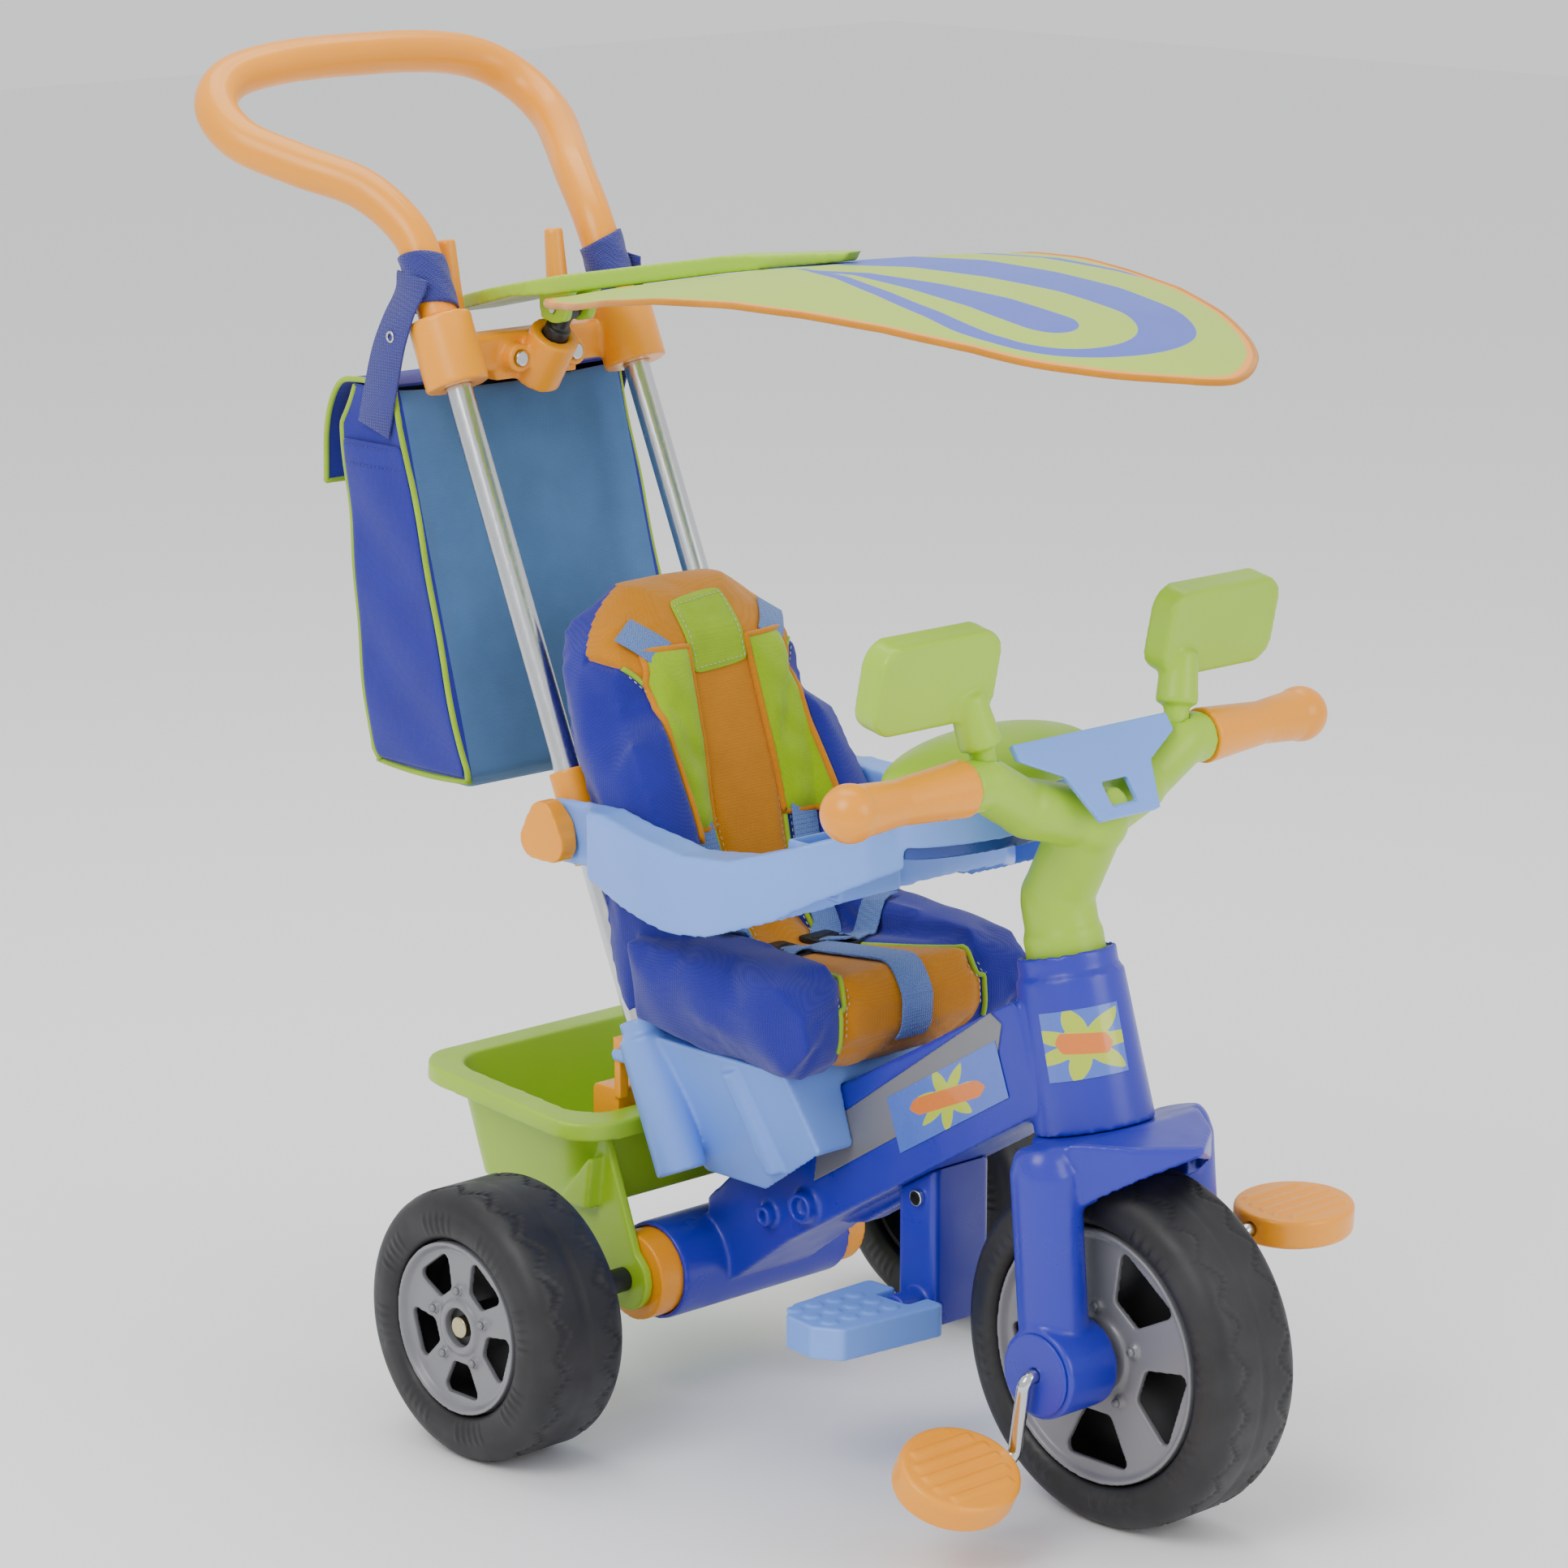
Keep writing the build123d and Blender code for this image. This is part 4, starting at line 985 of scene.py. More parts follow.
def stitch_tree() -> bpy.types.GeometryNodeTree:
    """Stitches laid along the piece's own edges, each a small capsule with a slight turn.

    Returns:
        The node group.
    """
    tree = NodeTree("stitch_row", [("Pitch", "NodeSocketFloat", 4.2 * MM),
                                   ("Thread", "NodeSocketFloat", 0.45 * MM),
                                   ("Length", "NodeSocketFloat", 2.9 * MM),
                                   ("Seed", "NodeSocketInt", 3),
                                   ("Material", "NodeSocketMaterial", None)])
    curve = tree.add("GeometryNodeMeshToCurve")
    tree.link(tree.given.outputs["Geometry"], curve.inputs[0])
    dots = tree.add("GeometryNodeCurveToPoints", mode="LENGTH")
    tree.link(curve.outputs[0], dots.inputs["Curve"])
    tree.link(tree.given.outputs["Pitch"], dots.inputs["Length"])
    thread = tree.add("GeometryNodeMeshUVSphere", Segments=6, Rings=5)
    tree.link(tree.given.outputs["Thread"], thread.inputs["Radius"])
    share = tree.add("ShaderNodeMath", operation="DIVIDE")
    tree.link(tree.given.outputs["Length"], share.inputs[0])
    tree.link(tree.given.outputs["Thread"], share.inputs[1])
    half = tree.add("ShaderNodeMath", operation="MULTIPLY")
    tree.link(share.outputs[0], half.inputs[0])
    half.inputs[1].default_value = 0.5
    size = tree.add("ShaderNodeCombineXYZ", X=1.0, Y=1.0)
    tree.link(half.outputs[0], size.inputs["Z"])
    turn = tree.add("FunctionNodeRandomValue", data_type="FLOAT")
    turn.inputs[2].default_value = -0.06
    turn.inputs[3].default_value = 0.06
    tree.link(tree.given.outputs["Seed"], turn.inputs["Seed"])
    aligned = tree.add("FunctionNodeAlignEulerToVector", axis="Z")
    tree.link(dots.outputs["Tangent"], aligned.inputs["Vector"])
    swing = tree.add("ShaderNodeCombineXYZ")
    tree.link(turn.outputs[1], swing.inputs["X"])
    rotate = tree.add("FunctionNodeRotateEuler", space="LOCAL")
    tree.link(aligned.outputs[0], rotate.inputs["Rotation"])
    tree.link(swing.outputs[0], rotate.inputs["Rotate By"])
    copies = tree.add("GeometryNodeInstanceOnPoints")
    tree.link(dots.outputs["Points"], copies.inputs["Points"])
    tree.link(thread.outputs[0], copies.inputs["Instance"])
    tree.link(rotate.outputs[0], copies.inputs["Rotation"])
    tree.link(size.outputs[0], copies.inputs["Scale"])
    return tree.close(copies.outputs[0])


def bolt_tree() -> bpy.types.GeometryNodeTree:
    """Bolt heads on the piece's vertices, all facing along Y.

    Returns:
        The node group.
    """
    tree = NodeTree("bolt_ring", [("Radius", "NodeSocketFloat", 3.2 * MM),
                                  ("Height", "NodeSocketFloat", 1.6 * MM),
                                  ("Material", "NodeSocketMaterial", None)])
    head = tree.add("GeometryNodeMeshCylinder", Vertices=6)
    tree.link(tree.given.outputs["Radius"], head.inputs["Radius"])
    tree.link(tree.given.outputs["Height"], head.inputs["Depth"])
    dots = tree.add("GeometryNodeMeshToPoints")
    tree.link(tree.given.outputs["Geometry"], dots.inputs[0])
    copies = tree.add("GeometryNodeInstanceOnPoints")
    copies.inputs["Rotation"].default_value = (math.pi / 2, 0, 0)
    tree.link(dots.outputs[0], copies.inputs["Points"])
    tree.link(head.outputs[0], copies.inputs["Instance"])
    return tree.close(copies.outputs[0])


class Repeats:
    """Runs the node groups on guide meshes and keeps the plain result."""

    def __init__(self) -> None:
        """Build the groups once."""
        self.stitches = stitch_tree()
        self.bolts = bolt_tree()

    def run(self, guide: bpy.types.Object, tree: bpy.types.GeometryNodeTree,
            material: bpy.types.Material, **inputs: float) -> bpy.types.Object:
        """Apply a group to a guide mesh.

        Args:
            guide: the guide mesh; it becomes the result.
            tree: the node group.
            material: what the result is made of.
            inputs: other inputs by name.
        Returns:
            The guide with the group's plain mesh.
        """
        modifier = guide.modifiers.new("repeat", "NODES")
        modifier.node_group = tree
        names = {s.name: s.identifier for s in tree.interface.items_tree
                 if s.item_type == "SOCKET" and s.in_out == "INPUT"}
        modifier[names["Material"]] = material
        for key, value in inputs.items():
            modifier[names[key]] = value
        return bake(guide)

    def stitch(self, name: str, line: Sequence[Vector], material: bpy.types.Material,
               pitch: float = 4.2) -> bpy.types.Object:
        """Row of stitches along a line."""
        guide = make_guide(name, line)
        return self.run(guide, self.stitches, material, Pitch=pitch * MM)


def make_guide(name: str, points: Sequence[Vector], edges: bool = True) -> bpy.types.Object:
    """Open chain of edges, or loose points, for a node group to work on.

    Args:
        name: the piece's name.
        points: the points, in metres.
        edges: whether the points are joined in a row.
    Returns:
        The guide object.
    """
    mesh = bpy.data.meshes.new(name)
    chain = [(i, i + 1) for i in range(len(points) - 1)] if edges else []
    mesh.from_pydata([tuple(p) for p in points], chain, [])
    guide = bpy.data.objects.new(name, mesh)
    bpy.context.scene.collection.objects.link(guide)
    return guide


class Skin:
    """Finds points on the surface of a finished piece."""

    def __init__(self, piece: bpy.types.Object) -> None:
        """Index the piece's faces."""
        mesh = piece.data
        self.tree = BVHTree.FromPolygons([v.co for v in mesh.vertices],
                                         [p.vertices for p in mesh.polygons])

    def drop(self, start: Vector, way: Vector, lift: float) -> Vector:
        """First surface point from start along way, raised by lift millimetres.

        Args:
            start: where the look starts.
            way: its direction.
            lift: distance off the surface in millimetres.
        Returns:
            The raised surface point.
        """
        hit, normal, _, _ = self.tree.ray_cast(start, way)
        if hit is None:
            hit, normal, _, _ = self.tree.find_nearest(start)
        if normal.dot(way) > 0:
            normal = -normal
        return hit + normal * lift * MM


# ---------------------------------------------------------------- studio
class Studio:
    """Plain floor, soft light and the camera."""

    def build(self) -> None:
        """Make all three."""
        self.floor()
        self.lights()
        self.camera()

    def floor(self) -> None:
        """Pale floor that curves away into the backdrop."""
        material = bpy.data.materials.new("studio_floor")
        material.use_nodes = True
        shader = material.node_tree.nodes["Principled BSDF"]
        shader.inputs["Base Color"].default_value = (0.93, 0.93, 0.93, 1)
        shader.inputs["Roughness"].default_value = 0.75
        half, back = 9.0, 9.0
        verts = [(-half, -half, 0), (half, -half, 0), (half, back, 0), (-half, back, 0)]
        floor = make_piece("studio_floor", [Vector(v) for v in verts], [(0, 1, 2, 3)])
        floor.data.materials.append(material)
        floor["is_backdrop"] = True

    def lights(self) -> None:
        """Soft world light with a large key, a fill and a top light."""
        world = bpy.context.scene.world or bpy.data.worlds.new("studio")
        bpy.context.scene.world = world
        world.use_nodes = True
        back = world.node_tree.nodes.get("Background")
        back.inputs[0].default_value = (0.97, 0.98, 1.0, 1)
        back.inputs[1].default_value = 1.0
        for name, place, size, power in (("key", (0.6, -2.6, 2.8), 1.8, 62.0),
                                         ("fill", (3.2, 0.8, 1.6), 1.6, 26.0),
                                         ("top", (-0.6, 0.4, 3.2), 2.2, 48.0)):
            light = bpy.data.lights.new(name, "AREA")
            light.size = size
            light.energy = power
            lamp = bpy.data.objects.new(name, light)
            bpy.context.scene.collection.objects.link(lamp)
            lamp.location = place
            aim = Vector((0, 0, 0.45)) - lamp.location
            lamp.rotation_euler = aim.to_track_quat("-Z", "Y").to_euler()
            lamp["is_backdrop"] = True

    def camera(self) -> None:
        """Three-quarter view from the front right."""
        lens = bpy.data.cameras.new("camera")
        lens.lens = 116.7
        lens.sensor_width = 36
        lens.clip_end = 50
        camera = bpy.data.objects.new("camera", lens)
        bpy.context.scene.collection.objects.link(camera)
        camera.location = (2.6251, -2.4733, 1.3025)
        aim = Vector((0.0096, 0, 0.4648)) - camera.location
        camera.rotation_euler = aim.to_track_quat("-Z", "Y").to_euler()
        bpy.context.scene.camera = camera


# ---------------------------------------------------------------- wheels
@dataclass
class Wheel(Assembly):
    """One wheel: ribbed blow-moulded tyre, dished covers and their bolts."""
    side: str = ""
    body: str = ""
    axle: Point = (0, 0, 0)
    tyre_r: float = 100.0
    bead_r: float = 64.0
    width: float = 82.0
    bolt_r: float = 28.0
    turn: float = 0.0
    repeats: Repeats | None = None

    def build(self) -> None:
        """Make the tyre and dress the core and covers."""
        tyre_node = "front_tyre" if self.side == "front" else f"rear_tyre_{self.side}"
        self.tyre(tyre_node)
        if self.side == "front":
            self.palette.dress_node("front_wheel_core", Slot.BLACK)
            for name in ("right", "left"):
                self.moulding(f"front_wheel_cover_{name}", self.body, Slot.GREY, 1.5, 3)
            self.bolts(-1)
            self.bolts(1)
        else:
            self.palette.dress_node(f"rear_wheel_core_{self.side}", Slot.BLACK)
            self.moulding(f"rear_wheel_cover_{self.side}", self.body, Slot.GREY, 1.2, 3)
            self.bolts(-1 if self.side == "right" else 1)

    def section(self) -> list[tuple[float, float]]:
        """Cross-section as (radius, offset) pairs, from one bead round the tread to the other.

        Returns:
            The pairs.
        """
        half = self.width / 2
        deep = self.tyre_r - self.bead_r
        corner = 15.0
        points = [(self.bead_r, half - 9), (self.bead_r + 2, half - 3), (self.bead_r + 5, half)]
        points += [(self.bead_r + 5 + (deep - corner - 5) * t, half + 1.2 * math.sin(math.pi * t))
                   for t in (0.25, 0.5, 0.75, 1.0)]
        for step in range(1, 9):
            angle = math.radians(90 * step / 8)
            points.append((self.tyre_r - corner + corner * math.sin(angle) - 1.0 * (1 - step / 8),
                           half - corner + corner * math.cos(angle)))
        flat = half - corner
        rows = 14
        across = [flat - 2 * flat * i / rows for i in range(1, rows)]
        points += [(self.tyre_r, y) for y in across]
        mirrored = [(r, -y) for r, y in reversed(points[:len(points) - len(across)])]
        return points + mirrored

    def tread(self, angle: float, offset: float) -> float:
        """Depth of the tread pattern, in millimetres, at a place on the tyre.

        Args:
            angle: place round the tyre, in radians.
            offset: place across the tyre, in millimetres.
        Returns:
            The depth.
        """
        half = self.width / 2
        repeats = 24 if self.side == "front" else 20
        wave = abs(((angle * repeats / (2 * math.pi)) % 1.0) * 2 - 1)
        zig = (wave - 0.5) * 13
        depth = 0.0
        for middle, width in ((half - 17, 1.3), (-half + 17, 1.3)):
            gap = abs(offset - middle - zig * (1 if middle > 0 else -1))
            depth = max(depth, 1.5 * (1 - smooth_step(width * 0.6, width * 1.5, gap)))
        seam = abs(abs(offset) - (half - 5.5))
        depth = max(depth, 0.9 * (1 - smooth_step(0.3, 1.2, seam)))
        depth = max(depth, 0.7 * (1 - smooth_step(0.4, 1.3, abs(offset))))
        return depth

    def tyre(self, node: str) -> None:
        """Spin the section round the axle, press the tread in and close it with an inner wall.

        Args:
            node: the CAD node.
        """
        section = self.section()
        inner = [(max(r - 4, self.bead_r + 2), y * 0.92) for r, y in reversed(section)
                 if r > self.bead_r + 4]
        ring = section + inner
        steps = 576
        verts, faces = [], []
        for step in range(steps):
            angle = 2 * math.pi * step / steps
            for i, (radius, offset) in enumerate(ring):
                if i < len(section) and radius > self.tyre_r - 16:
                    radius -= self.tread(angle, offset)
                elif i < len(section) and radius > self.bead_r + 6:
                    offset += math.copysign(self.wall_mark(angle, radius), offset)
                verts.append(at(self.axle[0] + radius * math.cos(angle), self.axle[1] + offset,
                                self.axle[2] + radius * math.sin(angle)))
        size = len(ring)
        for step in range(steps):
            ahead = (step + 1) % steps
            for i in range(size):
                j = (i + 1) % size
                faces.append((step * size + i, step * size + j, ahead * size + j, ahead * size + i))
        piece = make_piece(f"{node}_rubber", verts, faces)
        self.palette.give(piece, Slot.TYRE)
        self.place(piece, self.body, node)

    def wall_mark(self, angle: float, radius: float) -> float:
        """Height of the plain raised bars moulded round the side wall."""
        middle = (self.tyre_r - 15 + self.bead_r + 5) / 2
        around = (angle * 8 / (2 * math.pi)) % 1.0
        bar = (around * 9) % 1.0
        on = 1.0 if around < 0.55 and 0.2 < bar < 0.7 else 0.0
        return 0.7 * on * (1 - smooth_step(4.0, 5.5, abs(radius - middle)))

    def bolts(self, way: int) -> None:
        """Five bolt heads on the cover's bosses.

        Args:
            way: -1 for the right face, 1 for the left.
        """
        x, y, z = self.axle
        out = y + way * (self.width / 2 - 3.4)
        dots = []
        for i in range(5):
            angle = math.radians(126 + 72 * i)
            dots.append(at(x + self.bolt_r * math.cos(angle), out, z - self.bolt_r * math.sin(angle)))
        name = f"{self.body}_bolts_{'left' if way > 0 else 'right'}"
        heads = self.repeats.run(make_guide(name, dots, False), self.repeats.bolts,
                                 self.palette.by_slot[Slot.GREY], Height=3.0 * MM)
        self.place(heads, self.body)


# ---------------------------------------------------------------- front end
@dataclass
class FrontEnd(Assembly):
    """Fork, handlebar, grips, mirrors, middle panel, crank and pedals."""

    def build(self) -> None:
        """Make every moulding and dress the metal."""
        self.moulding("fork", "steering", Slot.ROYAL, 1.8, 5, 40)
        self.moulding("handlebar", "steering", Slot.GREEN, 1.8, 6, 40)
        self.moulding("handlebar_panel", "steering", Slot.LIGHT, 0.9, 3)
        for side in ("right", "left"):
            self.moulding(f"grip_{side}", "steering", Slot.ORANGE, 1.3, 5)
            self.moulding(f"mirror_{side}", "steering", Slot.GREEN, 1.6, 12, 160)
            self.moulding(f"pedal_{side}", f"pedal_{side}", Slot.ORANGE, 1.3, 3)
        for node, slot in (("fork_bushes", Slot.BLACK), ("steering_tube", Slot.STEEL)):
            self.palette.dress_node(node, slot)
        self.moulding("fork_end_caps", "steering", Slot.ROYAL, 1.2, 4)
        self.moulding("crank_rod", "front_wheel", Slot.STEEL, 1.2, 4)


# ---------------------------------------------------------------- chassis
@dataclass
class Chassis(Assembly):
    """Main frame, inlays, rear axle, seat base, basket and footrest."""

    def build(self) -> None:
        """Make every moulding and dress the hidden and metal pieces."""
        self.moulding("main_frame", "frame", Slot.ROYAL, 2.0, 6)
        self.moulding("seat_base", "frame", Slot.LIGHT, 1.7, 4, 12)
        self.moulding("rear_basket", "frame", Slot.GREEN, 1.6, 4)
        self.moulding("footrest_post", "frame", Slot.ROYAL, 1.5, 4)
        self.moulding("axle_plugs", "frame", Slot.ORANGE, 1.5, 4)
        self.moulding("axle_end_caps", "frame", Slot.BRASS, 0.8, 5)
        self.moulding("beam_inlays", "frame", Slot.GREY, 0.9, 2)
        self.moulding("bolts", "frame", Slot.STEEL, 0.6, 4)
        for side in ("right", "left"):
            self.moulding(f"footrest_tread_{side}", f"footrest_tread_{side}", Slot.LIGHT, 1.3, 4)
            self.moulding(f"latch_lever_{side}", f"latch_lever_{side}", Slot.ORANGE, 1.0, 4)
        for node, slot in (("rear_axle_rod", Slot.STEEL), ("axle_spacers", Slot.BLACK),
                           ("head_bushes", Slot.BLACK), ("seat_shell", Slot.BLACK)):
            self.palette.dress_node(node, slot)
        self.beam_label()
        self.head_label()

    def label(self, name: str, place: Callable[[float, float], Vector], half: float,
              tall: float) -> None:
        """Thin printed label with a burst of plain wedges.

        Args:
            name: the piece's name.
            place: gives the point at (along, up), in label millimetres.
            half: half its length.
            tall: half its height.
        """
        columns, rows = 60, 24
        verts = [place(half * (2 * i / columns - 1), tall * (2 * j / rows - 1))
                 for i in range(columns + 1) for j in range(rows + 1)]
        faces = [(i * (rows + 1) + j, i * (rows + 1) + j + 1, (i + 1) * (rows + 1) + j + 1,
                  (i + 1) * (rows + 1) + j) for i in range(columns) for j in range(rows)]
        piece = make_piece(name, verts, faces)
        mesh = piece.data
        burst = mesh.attributes.new("burst", "FLOAT", "POINT")
        spark = mesh.attributes.new("spark", "FLOAT", "POINT")
        spots = [(half * (2 * i / columns - 1), tall * (2 * j / rows - 1))
                 for i in range(columns + 1) for j in range(rows + 1)]
        burst.data.foreach_set("value", [self.wedge(u, v, tall * 0.95, 7) for u, v in spots])
        spark.data.foreach_set("value", [tall * 0.30 - abs(v + 0.12 * u)
                                         - 12 * smooth_step(half * 0.5, half * 0.85, abs(u))
                                         for u, v in spots])
        mesh.materials.append(self.palette.decal)
        self.place(piece, "frame")

    @staticmethod
    def wedge(u: float, v: float, reach: float, points: int) -> float:
        """Signed distance inside a star of plain points, in label millimetres."""
        angle = math.atan2(v, u * 0.6)
        swing = abs(((angle * points / (2 * math.pi)) % 1.0) * 2 - 1)
        return reach * (0.45 + 0.75 * swing) - math.hypot(u * 0.6, v)

    def beam_label(self) -> None:
        """Label on each side's inlay, along the beam."""
        low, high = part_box("beam_inlays")
        slope = math.atan(0.605)
        run = (math.cos(slope), math.sin(slope))
        for side, y in (("right", low.y / MM - 0.35), ("left", high.y / MM + 0.35)):
            def spot(u: float, v: float, y: float = y) -> Vector:
                """Point on the inlay's outer face."""
                return at(262 + u * run[0] - v * run[1] * 0.7, y, 281 + u * run[1] + v)
            self.label(f"beam_label_{side}", spot, 62, 19)

    def head_label(self) -> None:
        """Label wrapped round the right front of the steering head."""
        bottom, top = Vector((366, 0, 275)), Vector((336, 0, 395))
        run = (top - bottom).normalized()
        ahead = Vector((run.z, 0, -run.x))

        def spot(u: float, v: float) -> Vector:
            """Point just clear of the head's tapering skin.

            Args:
                u: along the label, in millimetres.
                v: up the label, in millimetres.
            Returns:
                The point of the frame.
            """
            share = (v + 62) / 124
            radius = 43.4 - 6.4 * share
            angle = math.radians(-42) + u / radius
            middle = bottom.lerp(top, share)
            p = middle + (ahead * math.cos(angle) + Vector((0, 1, 0)) * math.sin(angle)) * radius
            return at(*p)
        self.label("head_label", spot, 30, 24)


# ---------------------------------------------------------------- tray
@dataclass
class SafetyTray(Assembly):
    """Ring round the child with its bowl, lid, clamps and knobs."""

    def build(self) -> None:
        """Make every moulding."""
        self.moulding("safety_tray", "tray", Slot.LIGHT, 1.7, 3, 220)
        # The bowl's dark blue is painted shade for the shadowed front underside of the light-blue tray.
        self.moulding("tray_bowl", "tray", Slot.PAINTED_SHADE_BLUE, 1.1, 3)
        self.moulding("tray_lid", "tray_lid", Slot.GREEN, 1.3, 5)
        self.moulding("tray_clamps", "frame", Slot.ORANGE, 1.3, 5)
        for side in ("right", "left"):
            self.moulding(f"tray_knob_{side}", f"tray_knob_{side}", Slot.ORANGE, 1.2, 7)


# ---------------------------------------------------------------- push handle
@dataclass
class PushHandle(Assembly):
    """Tubes, moulded loop with its joint line, yoke and canopy post."""

    def build(self) -> None:
        """Make every moulding and dress the tubes."""
        self.palette.dress_node("push_tubes", Slot.TUBE)
        self.loop()
        self.moulding("handle_yoke", "frame", Slot.ORANGE, 1.5, 6, 16)
        self.moulding("canopy_post", "frame", Slot.BLACK, 1.2, 4)

    LOOP = ((-226, -88, 786), (-238, -88, 812), (-256, -89, 846), (-292, -103, 876),
            (-335, -130, 893), (-376, -152, 910), (-409, -150, 932), (-427, -122, 951),
            (-429, -70, 960), (-428, 0, 962))

    def loop(self) -> None:
        """Moulded loop as one smooth bar, with the line where its halves were joined."""
        half = [at(*p) for p in self.LOOP]
        whole = half + [Vector((p.x, -p.y, p.z)) for p in reversed(half[:-1])]
        line = spline(whole, 9)
        bar = tube("push_handle_bar", line, self.swell, 64)
        sides = 64
        normals = [v.normal.copy() for v in bar.data.vertices]
        for i, vertex in enumerate(bar.data.vertices):
            if i % sides in (16, 48):
                vertex.co -= normals[i] * 0.5 * MM
        self.palette.give(bar, Slot.ORANGE)
        self.place(bar, "frame", "push_handle")

    @staticmethod
    def swell(share: float) -> float:
        """Radius of the bar along the loop, in metres: fuller in the bends than at the ends."""
        near_end = min(share, 1 - share)
        return (14.9 + 1.6 * smooth_step(0.05, 0.3, near_end)) * MM


# ---------------------------------------------------------------- seat
SEAM_BACK = ((300, 30), (350, 30), (400, 33), (440, 37), (470, 41), (500, 49), (525, 60),
             (545, 76), (560, 104), (640, 140))
SEAM_CUSHION = ((-60, 30), (60, 31), (100, 36), (140, 47), (170, 60), (200, 74), (240, 84))


@dataclass
class Seat(Assembly):
    """Padded cover with its sewn panels, shoulder pads, webbing and buckles."""
    repeats: Repeats | None = None
    skin: Skin | None = None

    def build(self) -> None:
        """Make the soft pieces in the order they lie on each other."""
        self.cover()
        self.piping()
        self.patch()
        for side in (-1, 1):
            self.pad(side)
            self.shoulder_webbing(side)
        self.waist_webbing()
        self.moulding("buckles", "frame", Slot.BLACK, 0.9, 4)
        self.buckle_bars()

    @staticmethod
    def seam(place: Vector) -> float:
        """Signed distance to the panel seam in millimetres: negative on the orange middle.

        Args:
            place: a place in axle millimetres.
        Returns:
            The distance.
        """
        x, y, z = place
        on_back = x < 46 or z > 400
        half = along(SEAM_BACK, z)[0] if on_back else along(SEAM_CUSHION, x)[0]
        front = 12 - 0.3 * (z - 420)
        behind = on_back and x < front - 34 and z < 600
        return 25.0 if behind else abs(y) - half

    def cover(self) -> None:
        """Stuffed cover: swollen from the CAD solid, sewn down along the seams."""
        piece = node_copy("seat_cover_stuffed", "seat_cover")
        inflate(piece, 4.0, 9.0)
        paint(piece, "panel", self.seam)
        groove(piece, "panel", 3.2, 6.5)
        self.quilt(piece)
        self.palette.give(piece, Slot.SEAT)
        self.place(piece, "frame", "seat_cover")
        self.skin = Skin(piece)

    @staticmethod
    def quilt(piece: bpy.types.Object) -> None:
        """Pull folds into the crease between back and cushion and round the sides.

        Args:
            piece: the piece to work on.
        """
        def push(spot: Point, _: int) -> float:
            """Height of the folds at a place on the cover."""
            x, y, z = spot
            near = math.exp(-(((x - 40) / 30) ** 2 + ((z - 356) / 22) ** 2))
            fold = math.sin(y / 7.5 + 0.6 * math.sin(y / 23)) * 1.1 * near
            side = smooth_step(70, 98, abs(y)) * math.exp(-((z - 330) / 60) ** 2)
            return fold + math.sin(x / 9 + z / 21) * 1.0 * side
        displace(piece, push)

    def seam_line(self, side: int, lift: float) -> list[Vector]:
        """Points of the panel seam on the cover, from the top of the back to the cushion's front.

        Args:
            side: -1 for right, 1 for left.
            lift: distance off the surface in millimetres.
        Returns:
            The points.
        """
        line = []
        for z in range(550, 372, -7):
            y = side * min(along(SEAM_BACK, z)[0], 82.0)
            line.append(self.skin.drop(at(90, y, z), Vector((-1, 0, 0)), lift))
        for x in range(58, 188, 7):
            y = side * along(SEAM_CUSHION, x)[0]
            line.append(self.skin.drop(at(x, y, 520), Vector((0, 0, -1)), lift))
        for z in range(334, 300, -6):
            y = side * (along(SEAM_CUSHION, 196)[0] + (334 - z) * 0.05)
            line.append(self.skin.drop(at(320, y, z), Vector((-1, 0, 0)), lift))
        return line

    def piping(self) -> None:
        """Green piping sewn into both seams."""
        for side, name in ((-1, "right"), (1, "left")):
            line = spline(self.seam_line(side, 0.6), 3)
            cord = tube(f"seat_piping_{name}", line, 2.0 * MM, 8)
            cord.data.materials.append(self.palette.piping)
            self.place(cord, "frame")
            for gap in (-5.0, 5.0):
                row = [p + Vector((0, side * gap * MM, 0)) for p in self.seam_line(side, 1.2)]
                end = "in" if gap < 0 else "out"
                sewn = self.repeats.stitch(f"seat_stitches_{name}_{end}", row[1:-2],
                                           self.palette.thread, 5.0)
                self.place(sewn, "frame")

    def patch(self) -> None:
        """Plain green square with rounded corners, stitched to the top of the back."""
        half_y, low, high = 28.0, 541.0, 592.0
        rows, columns = 12, 12
        tilt = 0.07
        verts = []
        for i in range(columns + 1):
            for j in range(rows + 1):
                u, v = 2 * i / columns - 1, 2 * j / rows - 1
                pinch = 1 - 0.07 * (u * v) ** 4
                y = u * half_y * pinch
                z = (low + high) / 2 + v * (high - low) / 2 * pinch + tilt * y
                verts.append(self.skin.drop(at(240, y, z), Vector((-1, 0, 0)), 1.0))
        faces = [(i * (rows + 1) + j, i * (rows + 1) + j + 1, (i + 1) * (rows + 1) + j + 1,
                  (i + 1) * (rows + 1) + j) for i in range(columns) for j in range(rows)]
        piece = make_piece("seat_patch", verts, faces)
        solid = piece.modifiers.new("cloth", "SOLIDIFY")
        solid.thickness = 1.0 * MM
        solid.offset = 0
        divide = piece.modifiers.new("divide", "SUBSURF")
        divide.levels = 2
        bake(piece)
        piece.data.polygons.foreach_set("use_smooth", [True] * len(piece.data.polygons))
        piece.data.materials.append(self.palette.by_slot[Slot.PAD])
        self.place(piece, "frame")
        edge = []
        for u, v in ((-1, -1), (1, -1), (1, 1), (-1, 1), (-1, -1)):
            edge.append((u * (half_y - 4), (low + high) / 2 + v * ((high - low) / 2 - 4)))
        line = []
        for a, b in zip(edge, edge[1:]):
            for step in range(8):
                y, z = (a[0] + (b[0] - a[0]) * step / 8, a[1] + (b[1] - a[1]) * step / 8)
                line.append(self.skin.drop(at(240, y, z + tilt * y), Vector((-1, 0, 0)), 2.0))
        self.place(self.repeats.stitch("patch_stitches", line, self.palette.thread, 4.4), "frame")

